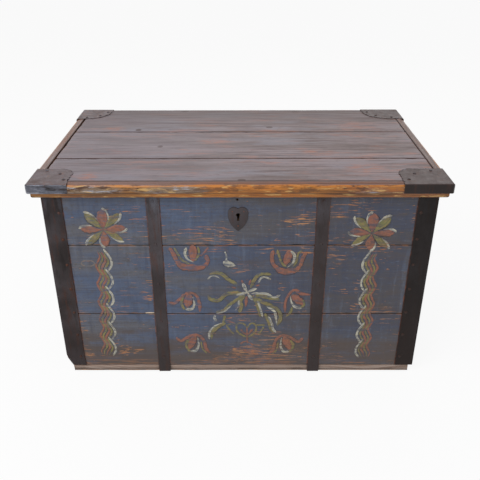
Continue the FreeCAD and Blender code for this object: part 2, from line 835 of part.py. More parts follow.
plate_face = inner_front + S.lock_plate
cover_face = plate_face + S.lock_deep
bolt_near = plate_face + S.bolt_set
bolt_far = bolt_near + S.bolt_thick
bolt_low = key_z + S.bolt_rise
bolt_top = bolt_low + S.bolt_high
bolt_start = key_x - S.bolt_tail
bolt_tip = bolt_start + S.bolt_long
staple_west = bolt_tip + S.staple_gap
staple_east = staple_west + S.staple_thick
eye_near = bolt_near - S.staple_play
eye_far = bolt_far + S.staple_play
staple_near = eye_near - S.staple_leg
staple_far = eye_far + S.staple_leg
cover_top = key_z + S.lock_above
cover_low = key_z - S.lock_below

plate = new_body("lock_plate")
pad(plate, "plate", "XZ_Plane", inner_front, plate_face, rectangle(
    key_x - S.lock_plate_half, key_x + S.lock_plate_half,
    key_z - S.lock_plate_below, key_z + S.lock_plate_above,
))
keyhole(plate, inner_front, plate_face + S.overrun)

cover = new_body("lock_cover")
west, east = key_x - S.lock_half, key_x + S.lock_half
pad(cover, "cover", "XZ_Plane", plate_face, cover_face, rectangle(west, east, cover_low, cover_top))
ease_edges(
    cover, "Chamfer", "Size", S.lock_ease,
    along_x(cover_face, cover_low), along_x(cover_face, cover_top),
    {"XMin": west, "XMax": west, "YMin": cover_face, "YMax": cover_face},
    {"XMin": east, "XMax": east, "YMin": cover_face, "YMax": cover_face},
)
hollow = rectangle(
    west + S.lock_sheet, east - S.lock_sheet, cover_low + S.lock_sheet, cover_top - S.lock_sheet,
)
pocket(cover, "hollow", "XZ_Plane", plate_face, cover_face - S.lock_sheet - S.lock_ease / 2, hollow)
staple_slot = rectangle(
    staple_west - S.staple_slot_play, staple_east + S.staple_slot_play,
    plate_face, staple_far + S.staple_play,
)
pocket(cover, "slot", "XY_Plane", cover_top - S.lock_sheet - S.overrun, cover_top, staple_slot)

bolt = new_body("lock_bolt")
pad(bolt, "bolt", "XZ_Plane", bolt_near, bolt_far, rectangle(bolt_start, bolt_tip, bolt_low, bolt_top))
talon = Circle(key_x - S.bolt_travel / 2, bolt_low, S.bolt_notch_deep)
pocket(bolt, "talon", "XZ_Plane", bolt_near, bolt_far, talon)

post = new_body("key_post")
post_root = cover_face - S.lock_sheet - S.lock_ease / 2
pad(post, "post", "XZ_Plane", plate_face + S.key_post_gap, post_root, Circle(key_x, key_z, S.key_post))

spring = new_body("lock_spring")
spring_low = bolt_top + S.spring_play
spring_top = cover_top - S.lock_sheet
spring_x = bolt_start + S.spring_half
spring_reach = S.spring_half
rise = spring_top - spring_low - S.spring_thick
radius = (rise * rise + spring_reach * spring_reach) / (rise * 2)
pad(spring, "bow", "XZ_Plane", bolt_near, bolt_near + S.spring_wide, Chain(
    (spring_x - spring_reach, spring_top - S.spring_thick, radius, -1),
    (spring_x, spring_low, radius, -1),
    (spring_x + spring_reach, spring_top - S.spring_thick),
    (spring_x + spring_reach, spring_top, radius, 1),
    (spring_x, spring_low + S.spring_thick, radius, 1),
    (spring_x - spring_reach, spring_top),
))

staple = new_body("lock_staple")
staple_x = (staple_west + staple_east) / 2
plate_start = inner_front + S.swing_play + S.staple_plate_front
pad(staple, "plate", "XY_Plane", underside - S.staple_plate, underside, rectangle(
    staple_x - S.staple_plate_half, staple_x + S.staple_plate_half,
    plate_start, plate_start + S.staple_plate_long,
))
pad(staple, "loop", "YZ_Plane", staple_west, staple_east, rectangle(
    staple_near, staple_far, bolt_low - S.staple_play - S.staple_under, underside - S.staple_plate,
))
pocket(staple, "eye", "YZ_Plane", staple_west, staple_east, rectangle(
    eye_near, eye_far, bolt_low - S.staple_play, bolt_top + S.staple_play,
))


# Drop handles

handle_z = rim - S.handle_drop
arm_half = S.handle_span / 2 - S.eye_wide / 2 - S.bail_gap - S.bail_bend


def handle_eye(label, sign, y):
    """An eye on its back plate, with a bore for one end of the handle."""
    body = new_body(label)
    face = half_width * sign
    pivot = face + S.handle_stand * sign
    pad(body, "plate", "YZ_Plane", *low_high(face, face + S.eye_plate * sign), rectangle(
        y - S.eye_plate_wide / 2, y + S.eye_plate_wide / 2,
        handle_z - S.eye_plate_high / 2, handle_z + S.eye_plate_high / 2,
    ))
    corners = [
        {"YMin": y + S.eye_plate_wide / 2 * a, "YMax": y + S.eye_plate_wide / 2 * a,
         "ZMin": handle_z + S.eye_plate_high / 2 * b, "ZMax": handle_z + S.eye_plate_high / 2 * b}
        for a in (-1, 1) for b in (-1, 1)
    ]
    ease_edges(body, "Chamfer", "Size", S.eye_plate_ease, *corners)
    low, high = handle_z - S.eye_radius, handle_z + S.eye_radius
    flat_half = S.eye_radius * math.tan(math.pi / 8)
    shoulder, tip = pivot + flat_half * sign, pivot + S.eye_radius * sign
    pad(body, "eye", "XZ_Plane", y - S.eye_wide / 2, y + S.eye_wide / 2, Chain(
        (face, low), (shoulder, low), (tip, handle_z - flat_half),
        (tip, handle_z + flat_half), (shoulder, high), (face, high),
    ))
    bore = Circle(pivot, handle_z, S.bail_radius + S.bail_play)
    pocket(body, "bore", "XZ_Plane", y - S.eye_wide / 2 - S.overrun, y + S.eye_wide / 2 + S.overrun, bore)


def bail(label, sign):
    """A bent iron rod whose turned-out ends pass through the eyes and are headed over."""
    body = new_body(label)
    pivot = (half_width + S.handle_stand) * sign
    end = S.handle_span / 2 + S.eye_wide / 2 + S.bail_gap
    low = handle_z - S.bail_drop
    path = add_sketch(body, "path", "YZ_Plane", pivot, [Chain(
        (case_middle - end, handle_z),
        (case_middle - arm_half - S.bail_bend, handle_z),
        (case_middle - arm_half, handle_z - S.bail_bend),
        (case_middle - arm_half, low + S.bail_sweep, S.bail_sweep, -1),
        (case_middle - arm_half + S.bail_sweep, low),
        (case_middle + arm_half - S.bail_sweep, low, S.bail_sweep, -1),
        (case_middle + arm_half, low + S.bail_sweep),
        (case_middle + arm_half, handle_z - S.bail_bend),
        (case_middle + arm_half + S.bail_bend, handle_z),
        (case_middle + end, handle_z),
        closed=False,
    )])
    flats = hexagon(pivot, handle_z, S.bail_radius)
    section = add_sketch(body, "rod", "XZ_Plane", case_middle - end, [flats])
    rod = body.newObject("PartDesign::AdditivePipe", f"{body.Name}_rod")
    rod.Profile = section
    rod.Spine = path
    rod.Transition = "Right corner"
    doc.recompute()
    head = hexagon(pivot, handle_z, S.bail_head)
    pad(body, "near_head", "XZ_Plane", case_middle - end - S.bail_head_thick, case_middle - end, head)
    pad(body, "far_head", "XZ_Plane", case_middle + end, case_middle + end + S.bail_head_thick, head)


for side, sign in (("left", -1), ("right", 1)):
    handle_eye(f"{side}_handle_eye_front", sign, case_middle - S.handle_span / 2)
    handle_eye(f"{side}_handle_eye_back", sign, case_middle + S.handle_span / 2)
    bail(f"{side}_handle", sign)


# Open till across the left end

till_top = rim - S.till_drop
till_low = till_top - S.till_high
till_inside = -inner_half + S.till_wide
till_wall = new_body("till_wall")
pad(till_wall, "wall", "XZ_Plane", inner_front, inner_back, eased_rectangle(
    till_inside, till_inside + S.till_wall, till_low, till_top, S.till_ease, S.till_ease,
))
till_floor = new_body("till_floor")
pad(till_floor, "floor", "XZ_Plane", inner_front, inner_back, rectangle(
    -inner_half, till_inside, till_low, till_low + S.till_floor,
))


# Wrought nails, in groups of separate solids

NAIL = (S.nail_head, S.nail_crown, S.nail_shank)
TACK = (S.tack_head, S.tack_crown, S.tack_shank)


def wrought_nail(kind, shank_length):
    """A four-sided rose head on a square shank that ends at the wood. The head stands on Z = 0."""
    head_size, crown_size, shank_size = (size.number for size in kind)
    half = head_size / 2
    corners = [Vector(half * a, half * b, 0) for a, b in ((1, 1), (-1, 1), (-1, -1), (1, -1), (1, 1))]
    tip = Vector(0, 0, crown_size)
    slopes = [Part.makePolygon([corners[k], corners[k + 1], tip, corners[k]]) for k in range(4)]
    faces = [Part.Face(wire) for wire in (Part.makePolygon(corners), *slopes)]
    head = Part.makeSolid(Part.makeShell(faces))
    shank_low = Vector(-shank_size / 2, -shank_size / 2, -shank_length)
    shank = Part.makeBox(shank_size, shank_size, shank_length, shank_low)
    return head.fuse(shank).removeSplitter()


def place_nails(label, groups):
    """One sub-part of nails. A group is (kind, sheet thickness, outward direction, points on the sheet)."""
    solids = []
    for kind, sheet_thickness, outward, points in groups:
        pattern = wrought_nail(kind, sheet_thickness.number)
        turn = FreeCAD.Rotation(Vector(0, 0, 1), Vector(*outward))
        for point in points:
            nail = pattern.copy()
            nail.Placement = FreeCAD.Placement(Vector(*[size.number for size in point]), turn)
            solids.extend(nail.Solids)
    group = doc.addObject("Part::Feature", label)
    group.Label = label
    group.Shape = Part.makeCompound(solids)
    pieces.append(group)


def row_places(start, run, count):
    """Places of a row of nails."""
    whole = int(count.number)
    return [start + run * step / (whole - 1) for step in range(whole)]


corner_groups = []
for sx in (-1, 1):
    for face_y, sy in ((case_front, -1), (case_back, 1)):
        heights = row_places(corner_nail_low, corner_nail_run, S.corner_nail_count)
        nail_x = (half_width - S.corner_leg + S.nail_edge) * sx
        nail_y = face_y - (S.corner_leg - S.nail_edge) * sy
        face_nails = [(nail_x, face_y + S.iron * sy, z) for z in heights]
        end_nails = [((half_width + S.iron) * sx, nail_y, z) for z in heights]
        corner_groups.append((NAIL, S.iron, (0, sy, 0), face_nails))
        corner_groups.append((NAIL, S.iron, (sx, 0, 0), end_nails))
place_nails("corner_nails", corner_groups)

strap_groups = []
for x in strap_places.values():
    heights = row_places(strap_nail_low, strap_nail_run, S.strap_nail_count)
    strap_groups.append((NAIL, S.iron, (0, -1, 0), [(x, case_front - S.iron, z) for z in heights]))
    strap_groups.append((NAIL, S.iron, (0, 1, 0), [(x, case_back + S.iron, z) for z in heights]))
strap_groups.append((TACK, S.heart_sheet, (0, -1, 0), [(px, heart_out, pz) for px, pz in heart_nails]))
place_nails("strap_nails", strap_groups)

lid_groups = []
for sx, sy, reach in bracket_corners:
    top = lid_top + S.bracket_sheet
    spots = [(px, py, top) for px, py in bracket_nail_places(sx, sy, reach)]
    lid_groups.append((NAIL, S.bracket_sheet, (0, 0, 1), spots))
for x in strap_places.values():
    places = row_places(leaf_tip_y + S.nail_margin, leaf_nail_run, S.leaf_nail_count)
    lid_groups.append((NAIL, S.iron, (0, 0, -1), [(x, y, underside - S.iron) for y in places]))
place_nails("lid_nails", lid_groups)


# Checks and files

doc.recompute()
for item in doc.Objects:
    if "Invalid" in item.State or "Error" in item.State:
        raise RuntimeError(f"{item.Name} failed: {item.State}")
os.makedirs("parts", exist_ok=True)
for piece in pieces:
    shape = piece.Shape
    if shape.isNull() or not shape.isValid() or not shape.Solids:
        raise RuntimeError(f"{piece.Label} has no valid solid")
    shape.exportStep(f"parts/{piece.Label}.step")
print(f"{len(pieces)} sub-parts")
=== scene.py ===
"""Dresses the iron-bound pine trunk: worn blue boards with folk flowers, a moulded lid and wrought iron."""
import json
import logging
import math
import random
from collections.abc import Callable, Sequence
from dataclasses import dataclass, field
from enum import Enum
from functools import cache, reduce

import bmesh
import bpy
from mathutils import Matrix, Vector, noise


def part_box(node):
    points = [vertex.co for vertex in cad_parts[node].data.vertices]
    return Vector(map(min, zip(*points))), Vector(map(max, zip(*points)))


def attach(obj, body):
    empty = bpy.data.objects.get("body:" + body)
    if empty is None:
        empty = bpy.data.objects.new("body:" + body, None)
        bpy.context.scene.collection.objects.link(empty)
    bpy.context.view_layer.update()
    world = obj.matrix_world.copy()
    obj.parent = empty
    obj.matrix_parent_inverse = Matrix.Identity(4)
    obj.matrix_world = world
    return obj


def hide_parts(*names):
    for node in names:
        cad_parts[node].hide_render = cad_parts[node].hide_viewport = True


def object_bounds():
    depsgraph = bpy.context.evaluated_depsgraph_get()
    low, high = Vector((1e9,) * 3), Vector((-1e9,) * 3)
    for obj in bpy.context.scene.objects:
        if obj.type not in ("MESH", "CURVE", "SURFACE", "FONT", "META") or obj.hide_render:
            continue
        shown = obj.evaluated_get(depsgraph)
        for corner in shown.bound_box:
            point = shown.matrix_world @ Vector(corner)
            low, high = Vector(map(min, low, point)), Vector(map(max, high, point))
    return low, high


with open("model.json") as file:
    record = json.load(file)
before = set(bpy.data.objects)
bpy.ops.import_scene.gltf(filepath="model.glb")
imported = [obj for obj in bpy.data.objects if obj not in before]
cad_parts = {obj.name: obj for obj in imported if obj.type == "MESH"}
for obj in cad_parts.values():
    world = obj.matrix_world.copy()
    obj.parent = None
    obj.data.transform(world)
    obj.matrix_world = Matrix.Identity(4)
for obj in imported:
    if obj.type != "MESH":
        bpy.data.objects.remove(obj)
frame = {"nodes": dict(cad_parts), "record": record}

CAD_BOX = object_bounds()
LOG = logging.getLogger("trunk")
MM = 0.001
SIDES = ("left", "right")
LEVELS = ("lower", "middle", "upper")

Piece = bpy.types.Object
Shape = bmesh.types.BMesh
Socket = bpy.types.NodeSocket
Tree = bpy.types.NodeTree
Mark = tuple[float, float, float, float]
Point = tuple[float, float]

# Levels and faces of the trunk that several finishes read, in metres.
FRONT_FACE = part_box("front_plank_middle")[0].y
OUTER_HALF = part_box("right_plank_middle")[1].x
CASE_JOINTS = tuple((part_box(f"front_plank_{under}")[1].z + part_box(f"front_plank_{over}")[0].z) / 2
                    for under, over in zip(LEVELS, LEVELS[1:]))
BOARD_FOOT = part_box("front_plank_lower")[0].z
STRAP_HALF = (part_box("front_strap_left")[1].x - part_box("front_strap_left")[0].x) / 2
STRAPS = tuple(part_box(f"front_strap_{side}")[0].x + STRAP_HALF for side in SIDES)
CORNER_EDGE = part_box("corner_iron_front_right")[0].x
LID_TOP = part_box("lid_plank_middle")[1].z
LID_JOINTS = tuple(corner.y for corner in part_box("lid_plank_middle"))
LID_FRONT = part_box("lid_plank_front")[0].y
LID_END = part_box("lid_plank_front")[1].x
NOWHERE = (0.0, 0.0, 0.0)
WHITE = (1.0, 1.0, 1.0, 1.0)

# Copies of solids: how near corners and cuts join, in metres, and which turns join or stay, in degrees.
WELD = 0.01 * MM
CUT = 0.001 * MM
FLAT = 1.0
CRISP = 40.0

# Marks on the front and the lid: where the middle is, half the width and half the height, in metres.
KNOT: Mark = (-0.446, 0.404, 0.026, 0.014)
SPLINTER: Mark = (-0.276, 0.2278, 0.017, 0.0034)
SCRAPES: tuple[Mark, ...] = (
    (-0.052, 0.603, 0.040, 0.016), (-0.276, 0.281, 0.026, 0.018), (0.118, 0.346, 0.034, 0.044),
    (0.018, 0.084, 0.060, 0.032), (0.085, 0.588, 0.060, 0.016), (-0.318, 0.085, 0.080, 0.034))
LID_KNOTS: tuple[Mark, ...] = (
    (-0.203, 0.336, 0.018, 0.013), (0.204, 0.328, 0.020, 0.014), (-0.250, -0.047, 0.011, 0.011),
    (-0.342, 0.118, 0.012, 0.014), (0.100, 0.147, 0.014, 0.012), (0.005, -0.322, 0.014, 0.009))
LID_RUBS: tuple[Mark, ...] = (
    (-0.084, -0.005, 0.060, 0.026), (-0.425, 0.130, 0.045, 0.030), (0.360, -0.235, 0.070, 0.050),
    (0.238, -0.100, 0.060, 0.030), (-0.420, -0.300, 0.035, 0.040))


class Tone(Enum):
    """The colours that the trunk's paints, woods and irons are mixed from, as they look on a screen."""

    BLUE = "46536c"
    BLUE_PALE = "5f6a7e"
    BLUE_DEEP = "293249"
    SLATE = "57575d"
    CLOUD = "47423f"
    GRIME = "4a3c33"
    # The painted shade on the right of the case.
    DUSK = "322c31"
    BARE = "a5602f"
    BARE_PALE = "c48c58"
    BARE_DARK = "6b4a34"
    SPLIT = "d8c2a8"
    PINE = "a77d52"
    PINE_DARK = "6f4c2e"
    PINE_GREY = "7a6a5a"
    PINE_AGED = "8a6a4c"
    DRIFTWOOD = "b09d92"
    MAUVE = "665654"
    MAUVE_PALE = "847578"
    MAUVE_DARK = "4a3734"
    ROSE = "9a6756"
    ROSEWOOD = "74503f"
    HEATHER = "7b767f"
    SEAM = "3a2019"
    HONEY = "a56c28"
    HONEY_PALE = "cda566"
    HONEY_DARK = "4c2f1c"
    RUSSET = "a05a2a"
    AMBER = "c0762c"
    # Painted highlights on the moulding's nose and the lid's iron corners.
    FROST = "9a9aa3"
    IRON = "342d2e"
    IRON_WORN = "4b4548"
    IRON_DARK = "2b2525"
    IRON_BROWN = "2c2220"
    # The bluish painted sheen and highlights on the irons.
    IRON_BLUE = "62646f"
    IRON_PLATE = "6b5a59"
    RUST = "7a4226"
    RUST_DARK = "4a2a1c"
    SOOT = "171311"
    RED = "84503f"
    TERRACOTTA = "9c6547"
    OLIVE = "6a6a3d"
    CREAM = "c3bda6"
    OCHRE = "99824a"

    @property
    def light(self) -> tuple[float, ...]:
        """Red, green and blue in linear light, and a full alpha."""
        parts = [int(self.value[i:i + 2], 16) / 255 for i in (0, 2, 4)]
        return (*(c / 12.92 if c <= 0.04045 else ((c + 0.055) / 1.055) ** 2.4 for c in parts), 1.0)


class Run(Enum):
    """The way a board's grain runs, as the order in which its axes are read."""

    ALONG_X = (0, 1, 2)
    ALONG_Y = (1, 0, 2)


class Wire:
    """A value in a shader tree. Sums, products and comparisons of wires add the nodes that work them out."""

    def __init__(self, graph: "Graph", socket: Socket) -> None:
        """Keeps the graph that takes new nodes, and the socket that gives the value."""
        self.graph, self.socket = graph, socket

    def __add__(self, other: "Value") -> "Wire":
        """Adds another value."""
        return self.graph.math("ADD", self, other)

    def __sub__(self, other: "Value") -> "Wire":
        """Takes another value away."""
        return self.graph.math("SUBTRACT", self, other)

    def __rsub__(self, other: float) -> "Wire":
        """Takes this value away from a number."""
        return self.graph.math("SUBTRACT", other, self)

    def __mul__(self, other: "Value") -> "Wire":
        """Multiplies by another value."""
        return self.graph.math("MULTIPLY", self, other)

    def __abs__(self) -> "Wire":
        """Drops the sign."""
        return self.graph.math("ABSOLUTE", self)

    def __gt__(self, other: float) -> "Wire":
        """Gives 1 where this is greater than a number, else 0."""
        return self.graph.math("GREATER_THAN", self, other)

    def __lt__(self, other: float) -> "Wire":
        """Gives 1 where this is less than a number, else 0."""
        return self.graph.math("LESS_THAN", self, other)

    def span(self, low: "Value", high: "Value", start: float = 0.0, end: float = 1.0) -> "Wire":
        """Turns the stretch from low to high into a smooth rise from start to end."""
        return self.graph.out("MapRange", (self, low, high, start, end), interpolation_type="SMOOTHSTEP")

    def between(self, start: float, end: float) -> "Wire":
        """Turns a mask into a value that is start where the mask is 0 and end where it is 1."""
        return self.span(0.0, 1.0, start, end)

    def nearest(self, *places: float) -> "Wire":
        """Gives the distance to the nearest of some places."""
        return self.graph.least(*(abs(self - place) for place in places))

    def tint(self, over: "Value", share: "Value") -> "Wire":
        """Lays a share of another colour over this colour."""
        return self.graph.mix(share, self, over)


Value = Wire | Tone | float | tuple[float, ...]
Values = dict[str, Value] | Sequence[Value]
Wires = dict[str, Wire]
Drawing = Callable[..., Wires]
Group = Callable[[], Tree]


class Graph:
    """Adds nodes to one shader tree and joins their sockets."""

    def __init__(self, tree: Tree) -> None:
        """Keeps the tree that the nodes go into."""
        self.tree = tree

    @classmethod
    def over(cls, owner: bpy.types.Material | bpy.types.World) -> "Graph":
        """Clears the tree of a material or a world, to draw in it.

        Args:
            owner: The material or the world.

        Returns:
            A graph over the empty tree.
        """
        owner.use_nodes = True
        owner.node_tree.nodes.clear()
        return cls(owner.node_tree)

    def feed(self, socket: Socket, value: Value) -> None:
        """Links a socket to a wire, or sets its value where a tone or plain numbers are given.

        Args:
            socket: The socket to fill.
            value: A wire, a tone or plain numbers.
        """
        if isinstance(value, Wire):
            self.tree.links.new(value.socket, socket)
        else:
            socket.default_value = value.light if isinstance(value, Tone) else value

    def add(self, kind: str, values: Values = (), **settings: object) -> bpy.types.Node:
        """Adds a node.

        Args:
            kind: The node's type, without its ShaderNode prefix.
            values: What its inputs take, by name or in their order.
            settings: Properties to set on the node.

        Returns:
            The new node.
        """
        node = self.tree.nodes.new("ShaderNode" + kind)
        for name, setting in settings.items():
            setattr(node, name, setting)
        for key, value in values.items() if isinstance(values, dict) else enumerate(values):
            self.feed(node.inputs[key], value)
        return node

    def out(self, kind: str, values: Values = (), which: str | int = 0, **settings: object) -> Wire:
        """Adds a node and gives one of its outputs, by name or number."""
        return Wire(self, self.add(kind, values, **settings).outputs[which])

    def use(self, group: Group, **values: Value) -> Wires:
        """Places a shared group.

        Args:
            group: Gives the group's tree.
            values: Values or wires for its named inputs.

        Returns:
            The group's outputs, by name.
        """
        node = self.add("Group", values, node_tree=group())
        return {socket.name: Wire(self, socket) for socket in node.outputs}

    def math(self, operation: str, first: Value, second: Value = 0.0, clamp: bool = False) -> Wire:
        """Joins two values by one operation."""
        return self.out("Math", (first, second), operation=operation, use_clamp=clamp)

    def most(self, *values: Wire) -> Wire:
        """Takes the greatest of several values."""
        return reduce(lambda first, second: self.math("MAXIMUM", first, second), values)

    def least(self, *values: Wire) -> Wire:
        """Takes the least of several values."""
        return reduce(lambda first, second: self.math("MINIMUM", first, second), values)

    def mix(self, share: Value, under: Value, over: Value) -> Wire:
        """Lays one colour over another.

        Args:
            share: How much of the upper colour shows.
            under: The lower colour.
            over: The upper colour.

        Returns:
            The mixed colour.
        """
        node = self.add("Mix", {"Factor": share}, data_type="RGBA")
        colours = [socket for socket in node.inputs if socket.type == "RGBA"]
        self.feed(colours[0], under)
        self.feed(colours[1], over)
        return Wire(self, next(socket for socket in node.outputs if socket.type == "RGBA"))

    def parts(self, vector: Wire) -> tuple[Wire, ...]:
        """Splits a vector into its three numbers."""
        return tuple(Wire(self, socket) for socket in self.add("SeparateXYZ", (vector,)).outputs)

    def vector(self, *values: Value) -> Wire:
        """Joins three numbers into a vector."""
        return self.out("CombineXYZ", values)

    def scaled(self, vector: Value, by: Value) -> Wire:
        """Stretches a vector by another, axis by axis."""
        return self.out("VectorMath", (vector, by), operation="MULTIPLY")

    def moved(self, vector: Value, by: Value) -> Wire:
        """Adds one vector to another."""
        return self.out("VectorMath", (vector, by), operation="ADD")

    def noise(self, place: Value, scale: Value, detail: float = 3.0, rough: float = 0.55) -> Wire:
        """Puts out soft noise.

        Args:
            place: The place.
            scale: How fine it is, as one number or as one for each axis.
            detail: How many finer layers it has.
            rough: How strong each finer layer is.

        Returns:
            The noise, from 0 to 1.
        """
        if isinstance(scale, tuple):
            place, scale = self.scaled(place, scale), 1.0
        return self.out("TexNoise", {"Vector": place, "Scale": scale, "Detail": detail, "Roughness": rough})

    def spot(self) -> Wire:
        """Gives the place on the object in metres, in the trunk's own frame."""
        return self.out("TexCoord", which="Object")

    def along(self, run: Run) -> Wire:
        """Gives the place with the grain's direction first."""
        parts = self.parts(self.spot())
        return self.vector(*(parts[axis] for axis in run.value))


def shared_group(name: str, **inputs: Value) -> Callable[[Drawing], Group]:
    """Turns a function that draws an effect into a shader group, which is made at its first use.

    Args:
        name: The group's name.
        inputs: Its inputs with their first values: three numbers make a vector, one a float.

    Returns:
        A decorator for a function that takes a graph and the inputs, and gives the outputs by name.
    """
    def decorate(draw: Drawing) -> Group:
        """Wraps one drawing function.

        Args:
            draw: The function that draws the effect.

        Returns:
            A function that gives the group's tree.
        """
        @cache
        def group() -> Tree:
            """Makes the group's tree.

            Returns:
                The tree, the same one at each call.
            """
            tree = bpy.data.node_groups.new(name, "ShaderNodeTree")
            for label, value in inputs.items():
                kind = "NodeSocketVector" if isinstance(value, tuple) else "NodeSocketFloat"
                tree.interface.new_socket(name=label, in_out="INPUT", socket_type=kind).default_value = value
            graph, into = Graph(tree), tree.nodes.new("NodeGroupInput").outputs
            drawn = draw(graph, **{label: Wire(graph, into[label]) for label in inputs})
            for label in drawn:
                kind = "NodeSocketColor" if label == "colour" else "NodeSocketFloat"
                tree.interface.new_socket(name=label, in_out="OUTPUT", socket_type=kind)
            out = tree.nodes.new("NodeGroupOutput").inputs
            for label, wire in drawn.items():
                graph.feed(out[label], wire)
            return tree
        return group
    return decorate


@shared_group("pine_grain", place=NOWHERE)
def grain(graph: Graph, place: Wire) -> Wires:
    """Pine grain that runs along the first axis: its fibre, its figure and its flecks.

    Args:
        graph: The group's graph.
        place: Where the point is, in metres.

    Returns:
        The three patterns by name.
    """
    drift = graph.noise(place, (0.9, 7.0, 7.0), 2.0)
    bend = graph.vector(0.0, 0.0, drift * 7.0 + graph.parts(place)[1])
    bent = graph.moved(graph.scaled(place, (0.3, 24.0, 24.0)), bend)
    rings = graph.out("TexWave", {"Vector": bent, "Scale": 1.1, "Distortion": 0.5, "Detail": 2.0}, "Fac",
                      wave_type="BANDS", bands_direction="Z", wave_profile="SAW")
    fleck = graph.noise(place, (26.0, 520.0, 520.0), 2.0, 0.5)
    return {"fibre": graph.noise(place, (5.0, 420.0, 420.0), 4.0, 0.6), "figure": rings,
            "fleck": fleck.span(0.6, 0.72)}


@shared_group("scratches", place=NOWHERE, amount=0.5, length=14.0, width=260.0, crowd=4.0)
def scratches(graph: Graph, place: Wire, amount: Wire, length: Wire, width: Wire, crowd: Wire) -> Wires:
    """Short scratches that roughly follow the grain, gathered into patches: their mask.

    Args:
        graph: The group's graph.
        place: Where the point is, in metres.
        amount: How many scratches there are, from 0 to 1.
        length: How often they change along the grain.
        width: How often they change across the grain.
        crowd: How often the patches change.

    Returns:
        The mask by name.
    """
    lean = graph.noise(place, (5.0, 3.0, 3.0), 1.0) * 0.03
    leaning = graph.moved(place, graph.vector(0.0, lean, lean))
    lines = graph.noise(graph.scaled(leaning, graph.vector(length, width, width)), 1.0, 3.0, 0.62)
    wide = crowd * 2.6
    gathered = graph.noise(graph.scaled(place, graph.vector(crowd, wide, wide)), 1.0, 2.0)
    level = 0.79 - amount * gathered.span(0.36, 0.66, 0.1, 1.0) * 0.3
    return {"mask": (lines - level).span(0.0, 0.04)}


@shared_group("patches", place=NOWHERE, size=10.0, low=0.45, high=0.65)
def patches(graph: Graph, place: Wire, size: Wire, low: Wire, high: Wire) -> Wires:
    """Soft blotches of any size: their mask."""
    return {"mask": graph.noise(place, size, 5.0, 0.62).span(low, high)}


@shared_group("worn_and_lit_edges", place=NOWHERE, reach=0.005, broken=60.0)
def worn_and_lit_edges(graph: Graph, place: Wire, reach: Wire, broken: Wire) -> Wires:
    """Outer edges: their mask, for wear and rust, and for painted highlights and painted shade on some irons.
    """
    shade = graph.out("AmbientOcclusion", {"Distance": reach}, "AO", inside=True, only_local=True, samples=8)
    return {"mask": (1.0 - shade).span(0.1, 0.75) * graph.noise(place, broken, 4.0).span(0.36, 0.62)}


@shared_group("crevice_shade", reach=0.02)
def crevice_shade(graph: Graph, reach: Wire) -> Wires:
    """Painted shade where pieces meet, found by ambient occlusion: its mask, which the irons also take for
    rust in their hollows.
    """
    return {"mask": graph.out("AmbientOcclusion", {"Distance": reach}, "AO", samples=8).span(0.9, 0.35)}


@shared_group("hammered_iron", place=NOWHERE, rust=0.4)
def hammered(graph: Graph, place: Wire, rust: Wire) -> Wires:
    """Hammer marks and rust on forged iron: height, rust, specks and a slow drift of tone.

    Args:
        graph: The group's graph.
        place: Where the point is, in metres.
        rust: How much rust there is, from 0 to 1.

    Returns:
        The four patterns by name.
    """
    pits = graph.noise(place, 420.0, 3.0, 0.6)
    blooms = graph.noise(place, 34.0, 5.0, 0.68)
    return {"height": graph.noise(place, 55.0, 2.0, 0.5) + pits * 0.35,
            "rust": (blooms - (0.86 - rust * 0.4)).span(0.0, 0.12),
            "speck": pits.span(0.55, 0.75), "drift": graph.noise(place, 7.0, 3.0)}


def near_spot(across: Wire, up: Wire, *marks: Mark) -> Wire:
    """Tells how near a point of a face is to the middle of the nearest of some marks.

    Args:
        across: The point's place across the face.
        up: The point's place up the face, or back over the lid.
        marks: The marks.

    Returns:
        1 at a middle, falling to 0 at the mark's rim.
    """
    near = []
    for x, y, wide, high in marks:
        off, rise = (across - x) * (1 / wide), (up - y) * (1 / high)
        near.append(across.graph.math("SUBTRACT", 1.0, off * off + rise * rise, clamp=True))
    return across.graph.most(*near)


